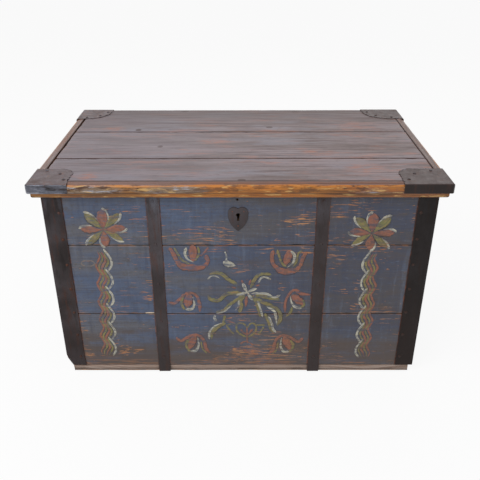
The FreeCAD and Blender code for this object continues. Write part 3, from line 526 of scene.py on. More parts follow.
@shared_group("old_blue_paint", place=NOWHERE, spot=NOWHERE)
def old_paint(graph: Graph, place: Wire, spot: Wire) -> Wires:
    """The blue paint of the case, worn down to the pine along its grain, joints, irons and foot.

    Args:
        graph: The group's graph.
        place: The place along the grain.
        spot: The place in the trunk's frame.

    Returns:
        The colour, the roughness, the height and a mask of the bare wood.
    """
    across, deep, level = graph.parts(spot)
    board = (level > CASE_JOINTS[0]) + (level > CASE_JOINTS[1])
    place = graph.moved(place, graph.vector(board * 3.7, board * 1.3, 0.0))
    wood = graph.use(grain, place=place)
    broad = graph.noise(place, (3.0, 15.0, 15.0), 4.0, 0.6)
    streak = graph.noise(place, (7.0, 150.0, 150.0), 4.0, 0.62)
    mottle = graph.noise(place, (34.0, 70.0, 70.0), 5.0, 0.7)
    speck = graph.noise(place, (230.0, 380.0, 380.0), 2.0)
    blot = graph.noise(place, (5.0, 22.0, 22.0), 5.0, 0.65)
    brush = graph.noise(spot, (60.0, 60.0, 7.0), 4.0, 0.65)

    # Paint, with painted shade to the right, and soiled near the floor.
    low = level.span(BOARD_FOOT + 0.2, BOARD_FOOT + 0.02)
    left, right = across.span(-0.1, -0.34), across.span(-0.24, 0.3)
    dirt = (blot + (low * left.between(0.26, 0.4) + right * 0.07)).span(0.54, 0.9)
    colour = (graph.mix(broad.span(0.38, 0.64), Tone.BLUE, Tone.SLATE)
              # painted shade towards the right
              .tint(Tone.DUSK, right * low.between(0.6, 0.1))
              .tint(Tone.BLUE_DEEP, streak.span(0.5, 0.72) * 0.5)
              .tint(Tone.BLUE_PALE, streak.span(0.44, 0.28) * 0.35)
              .tint(Tone.BLUE_DEEP, brush.span(0.5, 0.7) * 0.4)
              .tint(Tone.BLUE_PALE, brush.span(0.46, 0.3) * 0.35)
              .tint(Tone.CLOUD, mottle.span(0.5, 0.72) * 0.75)
              .tint(Tone.BLUE_PALE, mottle.span(0.44, 0.26) * 0.5)
              .tint(Tone.BLUE_DEEP, wood["fibre"].span(0.42, 0.7) * 0.35)
              .tint(Tone.GRIME, speck.span(0.55, 0.7) * 0.5)
              .tint(Tone.GRIME, dirt * 0.85))

    # Bare wood at the joints, the foot, the scrapes and along scratches.
    facing = deep < FRONT_FACE + 4 * MM
    joint = level.nearest(*CASE_JOINTS)
    chip = graph.noise(place, (34.0, 60.0, 60.0), 3.0)
    worn_joint = joint.span(4.6 * MM, 1.4 * MM) * chip.span(0.42, 0.58) * 0.7
    foot = level.span(BOARD_FOOT + 0.04, BOARD_FOOT)
    foot_lines = graph.noise(place, (9.0, 170.0, 170.0), 3.0, 0.6) + foot * left.between(0.06, 0.11)
    scraped = near_spot(across, level, *SCRAPES) * facing * 0.42
    centre = abs(across).span(0.30, 0.16)
    rate = low * left.between(0.08, 0.55) + (centre * 0.1 + right * 0.12) + scraped
    lines = graph.use(scratches, place=place, amount=rate + 0.62, length=15.0, width=330.0)
    chips = graph.use(scratches, place=place, amount=rate * 0.75 + 0.4, length=34.0, width=150.0, crowd=6.0)
    bare = graph.most(lines["mask"], chips["mask"], worn_joint, foot_lines.span(0.6, 0.66) * foot)
    pine = (graph.mix(wood["figure"], Tone.BARE, Tone.BARE_PALE)
            .tint(Tone.PINE_DARK, wood["fibre"].span(0.5, 0.72))
            .tint(Tone.BARE_DARK, foot * 0.6))
    fade = graph.noise(place, (60.0, 160.0, 160.0), 3.0)
    strength = (0.9 - dirt * 0.3) * fade.span(0.3, 0.62, 0.35, 1.0)

    # A knot, a splinter, and rust with a painted shadow beside the irons.
    torn = graph.noise(place, (70.0, 190.0, 190.0), 3.0, 0.6)
    ring = abs(near_spot(across, level, KNOT) - 0.45)
    knot = ring.span(0.22, 0.04) * torn.span(0.36, 0.56) * facing
    splinter = near_spot(across, level, SPLINTER).span(0.1, 0.4) * facing
    beside = graph.least(abs(across.nearest(*STRAPS) - STRAP_HALF), abs(CORNER_EDGE - abs(across)))
    fray = graph.noise(spot, (60.0, 60.0, 24.0), 3.0) * (7 * MM)
    # Beside the irons: rust, and a dark line that is a painted shadow.
    rust_and_shadow = (beside - fray).span(0.0, -3 * MM)
    stain = graph.mix(chip.span(0.46, 0.64), Tone.SEAM, Tone.RUST)
    colour = (colour.tint(pine, bare * strength)
              .tint(Tone.SOOT, joint.span(2.2 * MM, 0.6 * MM) * 0.8)
              .tint(Tone.PINE_GREY, knot * 0.85)
              .tint(Tone.SPLIT, splinter * 0.9)
              .tint(stain, rust_and_shadow * facing * 0.85))
    return {"colour": colour, "rough": streak.span(0.3, 0.7, 0.46, 0.62) + bare * 0.12,
            "height": wood["fibre"] * 0.5 - bare * 0.55 + streak * 0.4, "bare": bare}


@shared_group("old_lid_paint", place=NOWHERE)
def lid_paint(graph: Graph, place: Wire) -> Wires:
    """The thin mauve-brown paint of the lid, rubbed to rose along the grain: colour, roughness and height.

    Args:
        graph: The group's graph.
        place: Where the point is, in metres.

    Returns:
        The three by name.
    """
    fibre = graph.use(grain, place=place)["fibre"]
    broad = graph.noise(place, (2.2, 10.0, 10.0), 5.0, 0.62)
    streak = graph.noise(place, (6.0, 120.0, 120.0), 4.0, 0.6)
    glow = graph.noise(place, (7.0, 34.0, 34.0), 5.0, 0.66)
    haze = graph.noise(place, (3.4, 13.0, 13.0), 5.0, 0.66)
    mottle = graph.noise(place, (40.0, 90.0, 90.0), 5.0, 0.68)
    rub = graph.use(scratches, place=place, amount=0.75, length=10.0, width=90.0)
    knots = graph.use(patches, place=graph.scaled(place, (1.0, 2.2, 2.2)), size=12.0, low=0.7, high=0.78)
    colour = (graph.mix(broad.span(0.36, 0.64), Tone.MAUVE, Tone.MAUVE_PALE)
              .tint(Tone.MAUVE_DARK, streak.span(0.5, 0.7) * 0.65)
              .tint(Tone.MAUVE_DARK, fibre.span(0.48, 0.72) * 0.35)
              .tint(Tone.ROSE, graph.most(glow.span(0.52, 0.7) * 0.75, rub["mask"] * 0.7))
              .tint(Tone.HEATHER, haze.span(0.5, 0.66) * 0.7)
              .tint(Tone.MAUVE_DARK, haze.span(0.44, 0.28) * 0.6)
              .tint(Tone.MAUVE_DARK, mottle.span(0.52, 0.74) * 0.5)
              .tint(Tone.MAUVE_DARK, knots["mask"] * 0.7))
    return {"colour": colour, "rough": streak.span(0.3, 0.7, 0.34, 0.5), "height": fibre * 0.5 + streak * 0.5}


@dataclass(frozen=True)
class Surface:
    """What a finish gives its shader. A height of 1 is depth millimetres, and strength is its share."""

    colour: Wire
    rough: Wire
    height: Wire
    depth: float
    strength: float
    specular: float = 0.5
    metallic: Value = 0.0


@dataclass(frozen=True)
class Finish:
    """What every finish has: a name and the way its pattern runs."""

    name: str
    run: Run = Run.ALONG_X

    def surface(self, graph: Graph) -> Surface:
        """Draws the finish in its material's graph."""
        raise NotImplementedError

    def build(self) -> bpy.types.Material:
        """Makes the finish's material.

        Returns:
            The material.
        """
        material = bpy.data.materials.new(self.name)
        graph = Graph.over(material)
        look = self.surface(graph)
        relief = graph.out("Bump", {
            "Strength": look.strength, "Distance": look.depth * MM, "Height": look.height})
        shader = graph.out("BsdfPrincipled", {
            "Base Color": look.colour, "Roughness": look.rough, "Metallic": look.metallic,
            "Specular IOR Level": look.specular, "Normal": relief})
        graph.add("OutputMaterial", {"Surface": shader})
        return material


def pine_colour(graph: Graph, place: Wire, light: Tone, dark: Tone) -> tuple[Wire, Wire]:
    """Mixes bare pine with its grain.

    Args:
        graph: The material's graph.
        place: The place along the grain.
        light: The spring wood's tone.
        dark: The autumn wood's tone.

    Returns:
        The wood's colour and its fibre height.
    """
    wood = graph.use(grain, place=place)
    colour = (graph.mix(wood["figure"] * 0.6, light, dark)
              .tint(dark, wood["fibre"].span(0.45, 0.75) * 0.5)
              .tint(dark, wood["fleck"] * 0.35))
    return colour, wood["fibre"]


def board_joints(level: Wire) -> Wire:
    """Masks the dark lines where the case's boards meet, from the height above the floor."""
    return level.nearest(*CASE_JOINTS).span(2.4 * MM, 0.8 * MM)


@dataclass(frozen=True)
class BluePaint(Finish):
    """Blue paint outside, bare pine inside."""

    skin: float = 2.0

    def surface(self, graph: Graph) -> Surface:
        """Draws the painted boards, whose outer skin of a few millimetres is paint.

        Args:
            graph: The material's graph.

        Returns:
            What the surface looks like.
        """
        place, spot = graph.along(self.run), graph.spot()
        x, y, z = graph.parts(spot)
        paint = graph.use(old_paint, place=place, spot=spot)
        outside = graph.most(y < FRONT_FACE + self.skin * MM, abs(x) > OUTER_HALF - self.skin * MM)
        bare, fibre = pine_colour(graph, place, Tone.PINE, Tone.PINE_DARK)
        # Bare wood inside, with painted shade in its corners and dark lines at the board joints.
        bare = (bare.tint(Tone.GRIME, graph.use(crevice_shade, reach=0.05)["mask"] * 0.55)
                .tint(Tone.SOOT, board_joints(z) * 0.8))
        # The paint, with painted shade where pieces meet.
        painted = paint["colour"].tint(Tone.SOOT, graph.use(crevice_shade, reach=0.014)["mask"] * 0.7)
        return Surface(graph.mix(outside, bare, painted), outside.between(0.72, 0.52),
                       outside * paint["height"] + fibre * 0.4, depth=0.7, strength=0.5)


@dataclass(frozen=True)
class BarePine(Finish):
    """Unpainted pine, darkened with age and dirt, with painted shade where pieces meet."""

    light: Tone = Tone.PINE
    dark: Tone = Tone.PINE_DARK
    dirt: float = 0.5
    jointed: bool = False

    def surface(self, graph: Graph) -> Surface:
        """Draws the bare boards.

        Args:
            graph: The material's graph.

        Returns:
            What the surface looks like.
        """
        place = graph.along(self.run)
        colour, fibre = pine_colour(graph, place, self.light, self.dark)
        blots = graph.use(patches, place=graph.scaled(place, (0.5, 1.6, 1.6)), size=9.0, low=0.4, high=0.75)
        colour = colour.tint(Tone.GRIME, blots["mask"] * self.dirt)
        if self.jointed:
            level = graph.parts(graph.spot())[2]
            streaks = graph.noise(place, (30.0, 30.0, 3.0), 4.0, 0.65)
            damp = level.span(BOARD_FOOT + 0.14, BOARD_FOOT) * streaks.span(0.35, 0.65)
            colour = colour.tint(Tone.SOOT, board_joints(level) * 0.8).tint(Tone.GRIME, damp * 0.6)
        rub = graph.use(worn_and_lit_edges, place=place, reach=0.006, broken=40.0)
        # Painted shade where pieces meet, and paler worn edges.
        colour = (colour.tint(Tone.SOOT, graph.use(crevice_shade, reach=0.045)["mask"] * 0.7)
                  .tint(Tone.BARE_PALE, rub["mask"] * 0.5))
        return Surface(colour, fibre.span(0.3, 0.7, 0.6, 0.78), fibre, depth=0.6, strength=0.5)


@dataclass(frozen=True)
class LidPaint(Finish):
    """Worn paint on the lid's top and edges, dark seams between its boards, bare pine on its underside."""

    crack: tuple[float, ...] = (-0.482, 0.199, 0.346, 0.181)

    def seams(self, graph: Graph, spot: Wire) -> Wire:
        """Draws the dark lines between the lid's boards and one long crack in the back board.

        Args:
            graph: The material's graph.
            spot: The place in the trunk's frame.

        Returns:
            A mask of the lines.
        """
        x, y, _ = graph.parts(spot)
        waver = graph.noise(spot, (30.0, 30.0, 1.0), 3.0)
        near = graph.least(y.nearest(*LID_JOINTS), y - (LID_FRONT + 2.5 * MM), LID_END - abs(x))
        mask = (near - waver * (2.4 * MM)).span(2.3 * MM, 1.0 * MM)
        start, start_y, end, end_y = self.crack
        slope = (end_y - start_y) / (end - start)
        course = x * slope + (waver - 0.5) * (7 * MM) + (start_y - start * slope)
        within = x.span(start, start + 0.1) * x.span(end, end - 0.2)
        return graph.most(mask, abs(y - course).span(4.2 * MM, 2.0 * MM) * within * 0.75)

    def surface(self, graph: Graph) -> Surface:
        """Draws the lid's boards.

        Args:
            graph: The material's graph.

        Returns:
            What the surface looks like.
        """
        place, spot = graph.along(self.run), graph.spot()
        x, y, z = graph.parts(spot)
        paint = graph.use(lid_paint, place=place)
        bare, fibre = pine_colour(graph, place, Tone.PINE, Tone.PINE_DARK)
        rub = graph.use(worn_and_lit_edges, place=place, reach=0.005, broken=22.0)
        torn = graph.noise(place, (26.0, 90.0, 90.0), 5.0, 0.68).span(0.4, 0.6)
        knots = near_spot(x, y, *LID_KNOTS).span(0.1, 0.6) * torn.span(0.0, 0.5, 0.35, 0.85)
        painted = (paint["colour"].tint(Tone.BARE, rub["mask"] * 0.7)
                   .tint(Tone.HEATHER, x.span(0.25, -0.45) * 0.4)
                   .tint(Tone.ROSE, near_spot(x, y, *LID_RUBS) * torn * 0.85)
                   .tint(Tone.MAUVE_DARK, y.span(0.08, 0.36) * 0.7)
                   .tint(Tone.SEAM, knots)
                   .tint(Tone.SEAM, self.seams(graph, spot) * 0.95)
                   # painted shade where pieces meet
                   .tint(Tone.SEAM, graph.use(crevice_shade, reach=0.006)["mask"] * 0.9))
        top = z.span(LID_TOP - 8 * MM, LID_TOP - 6 * MM)
        return Surface(graph.mix(top, bare, painted), paint["rough"], paint["height"] + fibre * 0.2,
                       depth=0.6, strength=0.4, specular=0.2)


@dataclass(frozen=True)
class HoneyVarnish(Finish):
    """Varnished moulding: paint on top, honey nose, grey rubs, stains, orange arris, painted highlights and
    shade.
    """

    def surface(self, graph: Graph) -> Surface:
        """Draws the moulding, mostly by the drop below the lid's top.

        Args:
            graph: The material's graph.

        Returns:
            What the surface looks like.
        """
        place = graph.along(self.run)
        x, y, z = graph.parts(graph.spot())
        fibre = graph.use(grain, place=place)["fibre"]
        streak = graph.noise(place, (6.0, 130.0, 130.0), 4.0, 0.62)
        broad = graph.noise(place, (4.0, 20.0, 20.0), 4.0, 0.6)
        pale = graph.noise(place, (22.0, 130.0, 130.0), 4.0, 0.64)
        stain = graph.noise(place, (17.0, 80.0, 80.0), 5.0, 0.72)
        highlight_noise = graph.noise(place, (24.0, 150.0, 150.0), 4.0, 0.68)
        drop = LID_TOP - z
        ragged = drop + (streak - 0.5) * (8 * MM)
        top, nose = ragged.span(3.4 * MM, 1.4 * MM), drop.span(28 * MM, 24 * MM)
        gold = abs(x).span(0.4, 0.06)
        dull = gold.between(1.0, 0.66)
        shade = ragged.span(12 * MM, 24 * MM) * drop.span(30 * MM, 27 * MM) * dull
        lip = drop.span(28 * MM, 31 * MM) * gold.between(0.45, 0.0)
        grey = (broad + x.span(0.16, -0.4) * 0.22).span(0.55, 0.64) * nose * 0.92
        red = x.span(0.2, 0.45) * nose * pale.span(0.4, 0.56)
        arris = drop.span(8 * MM, 5 * MM) * stain.span(0.6, 0.44)
        paint = graph.use(lid_paint, place=place)
        cover = paint["colour"].tint(Tone.ROSEWOOD, broad.span(0.3, 0.7, 0.45, 0.95))
        to_board = graph.least(abs(y - LID_FRONT), abs(abs(x) - LID_END))
        # A painted shade line in the quirk between the nose and the lip.
        under = abs(drop - 28.5 * MM)
        colour = (graph.mix(broad.span(0.35, 0.65), Tone.HONEY, Tone.RUSSET)
                  .tint(Tone.AMBER, gold * 0.55)
                  .tint(Tone.HONEY_DARK, shade * 0.55)
                  .tint(Tone.HONEY_DARK, streak.span(0.46, 0.62) * dull * 0.85)
                  .tint(Tone.PINE_DARK, lip)
                  .tint(Tone.PINE_GREY, grey)
                  # painted highlights over the grey rubs
                  .tint(Tone.FROST, grey * highlight_noise.span(0.52, 0.62))
                  .tint(Tone.HONEY_DARK, stain.span(0.48, 0.58) * nose * dull)
                  .tint(Tone.ROSEWOOD, red * 0.6)
                  .tint(Tone.HONEY_PALE, pale.span(0.54, 0.66) * 0.75)
                  .tint(Tone.AMBER, arris * 0.7)
                  .tint(cover, top)
                  .tint(Tone.SEAM, to_board.span(4.6 * MM, 2.4 * MM) * top * 0.9)
                  # painted shade in the quirk
                  .tint(Tone.HONEY_DARK, under.span(3 * MM, 0.5 * MM) * 0.65)
                  # painted shade where pieces meet
                  .tint(Tone.SEAM, graph.use(crevice_shade, reach=0.008)["mask"] * 0.85))
        return Surface(colour, streak.span(0.3, 0.7, 0.3, 0.5), fibre * 0.4 + stain * 0.8,
                       depth=1.2, strength=0.5, specular=0.4)


@dataclass(frozen=True)
class Iron(Finish):
    """Blackened iron with hammer marks, rust on its edges, and a bluish painted sheen, with wear, just under
    the lid's edge.
    """

    body: Tone = Tone.IRON
    worn: Tone = Tone.IRON_WORN
    # The colour of the outer edges: rust on most irons, a painted highlight on the lid's corners, painted
    # shade on the heart plate.
    edge: Tone = Tone.RUST
    # The bluish colour of the painted sheen under the lid's edge; on the lid's corners, the top plate's own
    # colour.
    plate: Tone = Tone.IRON_BLUE
    rust: float = 0.45
    gloss: float = 0.46
    specular: float = 0.3
    edge_reach: float = 0.0016
    # The painted shade towards the right: its colour and its share.
    right_shade: Tone = Tone.IRON_BROWN
    right_shade_share: float = 0.55
    # The share of the bluish painted sheen, with wear, under the lid's edge.
    sheen_and_wear: float = 0.55

    def sheen_and_rubs(self, colour: Wire, place: Wire) -> Wire:
        """Lays a bluish painted sheen, with wear, on the iron just under the lid's edge.

        Args:
            colour: The iron's colour so far.
            place: The place in the trunk's frame.

        Returns:
            The colour with the sheen.
        """
        graph = colour.graph
        smear = graph.noise(place, (60.0, 60.0, 18.0), 4.0, 0.65)
        high = graph.parts(place)[2].span(LID_TOP - 0.15, LID_TOP - 0.05)
        return colour.tint(self.plate, high * smear.span(0.4, 0.62) * self.sheen_and_wear)

    def surface(self, graph: Graph) -> Surface:
        """Draws the iron, browner towards the floor and with painted shade towards the right.

        Args:
            graph: The material's graph.

        Returns:
            What the surface looks like.
        """
        place = graph.spot()
        x, _, z = graph.parts(place)
        marks = graph.use(hammered, place=place, rust=self.rust)
        streak = graph.noise(place, (75.0, 75.0, 11.0), 5.0, 0.68)
        edge = graph.use(worn_and_lit_edges, place=place, reach=self.edge_reach, broken=70.0)
        rust = graph.most(marks["rust"] * 0.6, graph.use(crevice_shade, reach=0.005)["mask"] * 0.5)
        forged = (graph.mix(marks["drift"].span(0.35, 0.68), self.body, self.worn)
                  .tint(Tone.RUST_DARK, streak.span(0.52, 0.66) * 0.5)
                  .tint(Tone.SOOT, streak.span(0.46, 0.3) * 0.45))
        # A bluish painted sheen, with wear, under the lid's edge.
        colour = (self.sheen_and_rubs(forged, place)
                  .tint(Tone.SOOT, marks["speck"] * 0.5)
                  # painted shade towards the right
                  .tint(self.right_shade, x.span(-0.1, 0.35) * self.right_shade_share)
                  .tint(Tone.IRON_BROWN, z.span(0.4, 0.08) * 0.5)
                  .tint(self.edge, edge["mask"] * 0.85)
                  .tint(Tone.RUST_DARK, rust))
        rough = marks["height"].span(0.3, 0.9, self.gloss - 0.07, self.gloss + 0.1) + rust * 0.25
        return Surface(colour, rough, marks["height"], depth=0.9, strength=0.45,
                       specular=self.specular, metallic=(1.0 - rust) * 0.25)


@dataclass(frozen=True)
class LidIron(Iron):
    """Sheet iron of the lid's corners: brown-grey worn tops, a dark fold, painted highlights along the edge.
    """

    def sheen_and_rubs(self, colour: Wire, place: Wire) -> Wire:
        """Colours the sheet: its top plate, with a painted bluish sheen at the left, and painted highlights
        on the left turned-down edge.

        Args:
            colour: The iron's own colour.
            place: Where the point is, in metres.

        Returns:
            The colour with the top plate and the painted highlights.
        """
        graph = colour.graph
        x, _, z = graph.parts(place)
        smear = graph.noise(place, (26.0, 26.0, 90.0), 4.0, 0.65)
        fleck = graph.noise(place, 70.0, 4.0, 0.7)
        left = x.span(0.1, -0.3)
        # The top plate's own colour, with a painted bluish sheen at the left.
        plate = (graph.mix(left.between(0.0, 0.3), self.plate, Tone.IRON_BLUE)
                 .tint(Tone.MAUVE_DARK, smear.span(0.38, 0.66, 0.0, 0.8))
                 .tint(Tone.ROSEWOOD, fleck.span(0.54, 0.66) * 0.6))
        # Painted highlights on the turned-down edge at the left, then the top plate.
        return (colour.tint(self.edge, smear.span(0.32, 0.58) * left * 0.9)
                .tint(Tone.FROST, smear.span(0.56, 0.66) * left * 0.6)
                .tint(plate, z.span(LID_TOP - 0.6 * MM, LID_TOP + 0.6 * MM)))


@dataclass(frozen=True)
class Brushwork(Finish):
    """One paint of the folk flowers, thin and dry over the blue boards and worn with them."""

    tone: Tone = Tone.RED
    second: Tone = Tone.OCHRE

    def surface(self, graph: Graph) -> Surface:
        """Draws the brush paint over the board's own paint.

        Args:
            graph: The material's graph.

        Returns:
            What the surface looks like.
        """
        spot, stroke = graph.spot(), graph.out("UVMap")
        board = graph.use(old_paint, place=spot, spot=spot)
        hairs = graph.noise(stroke, (0.35, 8.0, 1.0), 3.0, 0.6)
        cloud = graph.noise(spot, 60.0, 4.0, 0.65)
        thin = graph.noise(spot, (30.0, 30.0, 120.0), 4.0, 0.62)
        worn = graph.most(thin.span(0.46, 0.64) * 0.7, hairs.span(0.54, 0.7) * 0.65)
        across = graph.parts(stroke)[1]
        fray = (graph.noise(spot, 200.0, 3.0) - 0.5) * 0.55
        rim = (graph.least(across, 1.0 - across) + fray).span(0.02, 0.2)
        paint = (graph.mix(hairs.span(0.42, 0.66), self.tone, self.second)
                 .tint(Tone.GRIME, cloud.span(0.46, 0.68) * 0.55))
        cover = (0.92 - worn) * (1.0 - board["bare"] * 0.85) * rim
        return Surface(board["colour"].tint(paint, cover), hairs.span(0.3, 0.7, 0.48, 0.6),
                       hairs + board["height"], depth=0.3, strength=0.4)


class Stock:
    """The trunk's finishes, each made into a material once and kept by name."""

    finishes: tuple[Finish, ...] = (
        BluePaint("blue_boards_long"),
        BluePaint("blue_boards_end", Run.ALONG_Y),
        BarePine("back_pine", light=Tone.PINE_AGED, dirt=0.6, jointed=True),
        BarePine("base_pine", light=Tone.DRIFTWOOD, dark=Tone.BARE_DARK, dirt=0.3),
        BarePine("batten_pine", Run.ALONG_Y),
        LidPaint("lid_boards"),
        HoneyVarnish("moulding_long"),
        HoneyVarnish("moulding_end", Run.ALONG_Y),
        Iron("wrought_iron"),
        # The corner irons take a strong painted shade towards the right.
        Iron("corner_iron", body=Tone.IRON_DARK, rust=0.35, specular=0.18, right_shade=Tone.SOOT, right_shade_share=0.8,
             sheen_and_wear=0.2),
        # The lid's corners take a painted highlight on their edges instead of rust.
        LidIron("lid_iron", body=Tone.SOOT, worn=Tone.IRON, edge=Tone.IRON_BLUE, plate=Tone.IRON_PLATE,
                rust=0.4, gloss=0.42, edge_reach=0.0008),
        Iron("lock_iron", worn=Tone.IRON_PLATE, rust=0.4, gloss=0.42, specular=0.4),
        # The heart plate's outer edges are darkened with painted shade.
        Iron("heart_iron", edge=Tone.SOOT, plate=Tone.IRON_WORN, rust=0.3),
        Iron("nail_iron", rust=0.55, gloss=0.5),
        Iron("rusty_iron", body=Tone.RUST_DARK, worn=Tone.RUST_DARK, rust=0.3, gloss=0.55, right_shade_share=0.8),
        Brushwork("brush_red", tone=Tone.RED, second=Tone.TERRACOTTA),
        Brushwork("brush_olive", tone=Tone.OLIVE, second=Tone.OCHRE),
        Brushwork("brush_cream", tone=Tone.CREAM, second=Tone.BLUE_PALE),
    )

    def __init__(self) -> None:
        """Builds every material."""
        self.materials = {finish.name: finish.build() for finish in self.finishes}

    def dress(self, piece: Piece, *names: str) -> None:
        """Gives a piece its materials, in the order of its faces' material numbers.

        Args:
            piece: The piece.
            names: The names of its finishes.
        """
        slots = piece.data.materials
        for number, name in enumerate(names):
            if number < len(slots):
                slots[number] = self.materials[name]
            else:
                slots.append(self.materials[name])


def scene_object(name: str, data: bpy.types.ID) -> Piece:
    """Makes an object of a mesh, a light or a camera, and puts it in the scene.

    Args:
        name: The object's name.
        data: What the object shows.

    Returns:
        The object.
    """
    made = bpy.data.objects.new(name, data)
    bpy.context.scene.collection.objects.link(made)
    return made


def mesh_object(name: str, shape: Shape) -> Piece:
    """Turns a shape into an object in the scene, and frees the shape.

    Args:
        name: The object's name.
        shape: Its shape, which is then used up.

    Returns:
        The object.
    """
    mesh = bpy.data.meshes.new(name)
    shape.to_mesh(mesh)
    shape.free()
    return scene_object(name, mesh)


def new_piece(name: str, shape: Shape, body: str) -> Piece:
    """Makes a piece that rides on a body.

    Args:
        name: The piece's name.
        shape: Its mesh, in the trunk's frame, which is freed.
        body: The body that it rides on.

    Returns:
        The new object.
    """
    piece = mesh_object(name, shape)
    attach(piece, body)
    return piece


def solid_copy(node: str, flat: float = 0.0) -> Shape:
    """Copies a node's solid.

    Args:
        node: The node's name.
        flat: Facets that turn by less than this many degrees are joined.

    Returns:
        A shape of its own, whose facets share their corners.
    """
    shape = bmesh.new()
    shape.from_mesh(frame["nodes"][node].data)
    bmesh.ops.remove_doubles(shape, verts=shape.verts, dist=WELD)
    if flat:
        bmesh.ops.dissolve_limit(shape, angle_limit=math.radians(flat), verts=shape.verts, edges=shape.edges)
    return shape


def stand_in(made: str, node: str, shape: Shape, sharp: float = 0.0) -> Piece:
    """Makes a piece that takes a node's place, on the node's body.

    Args:
        made: How the piece was made, which its name starts with.
        node: The node that it stands for.
        shape: Its mesh, which is freed.
        sharp: Edges that turn by more than this many degrees stay crisp. At 0 every facet is flat.

    Returns:
        The piece.
    """
    record = frame["record"]
    body = next(name for name, nodes in record["behaviour"]["bodies"].items() if node in nodes)
    for face in shape.faces:
        face.smooth = sharp > 0
    piece = new_piece(f"{made}_{node}", shape, body)
    if sharp:
        piece.data.set_sharp_from_angle(angle=math.radians(sharp))
    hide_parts(node)
    return piece


Wear = Callable[[Vector, Vector], Vector]


def steps(low: float, high: float, stride: float) -> list[float]:
    """Divides a stretch evenly, without its ends."""
    count = max(int((high - low) / stride), 1)
    return [low + (high - low) * i / count for i in range(1, count)]


def rims(low: float, high: float, depths: Sequence[float]) -> list[float]:
    """Lists places at given depths from both ends of a stretch."""
    return [*(low + depth for depth in depths), *(high - depth for depth in depths)]


def worn_copy(node: str, cuts: Sequence[Sequence[float]], wear: Wear, sharp: float = CRISP) -> Piece:
    """Copies a node's solid, cuts it into a fine grid and wears its surface down.

    Args:
        node: The node that the copy stands for.
        cuts: The places of the cuts along x, y and z, in metres.
        wear: Gives how far a point moves, from its place and its normal.
        sharp: Edges that turn by more than this many degrees stay crisp.

    Returns:
        The worn piece, in the node's place.
    """
    shape = solid_copy(node, FLAT)
    for axis, places in enumerate(cuts):
        for place in places:
            point, normal = Vector(), Vector()
            point[axis], normal[axis] = place, 1.0
            everything = [*shape.verts, *shape.edges, *shape.faces]
            bmesh.ops.bisect_plane(shape, geom=everything, dist=CUT, plane_co=point, plane_no=normal)
    shape.normal_update()
    moves = [wear(vert.co, vert.normal) for vert in shape.verts]
    for vert, move in zip(shape.verts, moves):
        vert.co += move
    return stand_in("worn", node, shape, sharp)


def ripple(place: Vector, size: float, seed: float) -> float:
    """Gives smooth noise from about -1 to 1 whose lumps have a size in metres."""
    return noise.noise(place / size + Vector((seed, seed * 1.7, seed * 0.6)))


def wave(place: Vector, size: float, seed: float) -> float:
    """Gives the same noise from about 0 to 1."""
    return 0.5 + 0.5 * ripple(place, size, seed)


@dataclass(frozen=True)
class EdgeWear:
    """How a board's outer edges are rounded and chipped and its faces hollowed, in millimetres."""

    soft: float = 1.2
    chip: float = 3.0
    reach: float = 9.0
    length: float = 26.0
    hollow: float = 0.35
    hollow_length: float = 70.0
    chip_level: float = 0.22
    skin: float = 0.6

    def on(self, node: str, seed: float) -> Wear:
        """Makes the wear for one board.

        Args:
            node: The board's node.
            seed: A number of its own, so that no two boards are alike.

        Returns:
            The wear of a point on that board.
        """
        low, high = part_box(node)

        def wear(place: Vector, normal: Vector) -> Vector:
            """Moves a point near an edge inwards, and hollows the faces a little.

            Args:
                place: Where the point is, in metres.
                normal: The way the surface faces there.

            Returns:
                How far the point moves, in metres.
            """
            gaps = sorted(gap for axis in range(3) for gap in (
                (place[axis] - low[axis], axis, 1.0), (high[axis] - place[axis], axis, -1.0)))
            squeezed = Vector((place.x, place.y * 2, place.z * 2))
            chips = max(ripple(squeezed, 1.5 * self.length * MM, seed + 9) - self.chip_level, 0.0)
            bumps = wave(place, self.length * MM, seed)
            depth = (self.soft * (0.5 + bumps) + self.chip * chips * 2.0) * MM
            move = Vector()
            for gap, axis, inward in gaps[:2]:
                other = gaps[1][0] if axis == gaps[0][1] else gaps[0][0]
                if gap < self.skin * MM and other < self.reach * MM:
                    move[axis] += inward * depth * (1.0 - other / (self.reach * MM)) ** 2
            return move - normal * self.hollow * MM * wave(place, self.hollow_length * MM, seed + 4)

        return wear


@dataclass(frozen=True)
class Knock:
    """The front left foot, knocked in by moving: how deep, how high and how far, in millimetres.

    The base board and the irons' ends, which lie lower than the foot by more than the slack, move less.
    """

    depth: float = 17.0
    base_depth: float = 5.0
    height: float = 36.0
    reach: float = 70.0
    slack: float = 0.3

    def over(self, wear: Wear) -> Wear:
        """Adds the knock to a piece's other wear.

        Args:
            wear: The piece's other wear.

        Returns:
            Both together.
        """
        def fade(far: float, reach: float) -> float:
            """Falls from 1 to 0 over a reach."""
            return min(max(1.0 - far / (reach * MM), 0.0), 1.0)

        def knocked(place: Vector, normal: Vector) -> Vector:
            """Moves a point of the foot to the right.

            Args:
                place: Where the point is, in metres.
                normal: The way the surface faces there.

            Returns:
                How far the point moves, in metres.
            """
            up = place.z - BOARD_FOOT
            push = self.depth * fade(up, self.height) if up > -self.slack * MM else self.base_depth
            near = fade(place.x + OUTER_HALF, self.reach) * fade(place.y - FRONT_FACE, self.reach)
            return wear(place, normal) + Vector((push * near * MM, 0.0, 0.0))

        return knocked


class Brush(Enum):
    """The paints of the folk flowers, in the order in which they were laid on."""

    RED = 0
    OLIVE = 1
    CREAM = 2


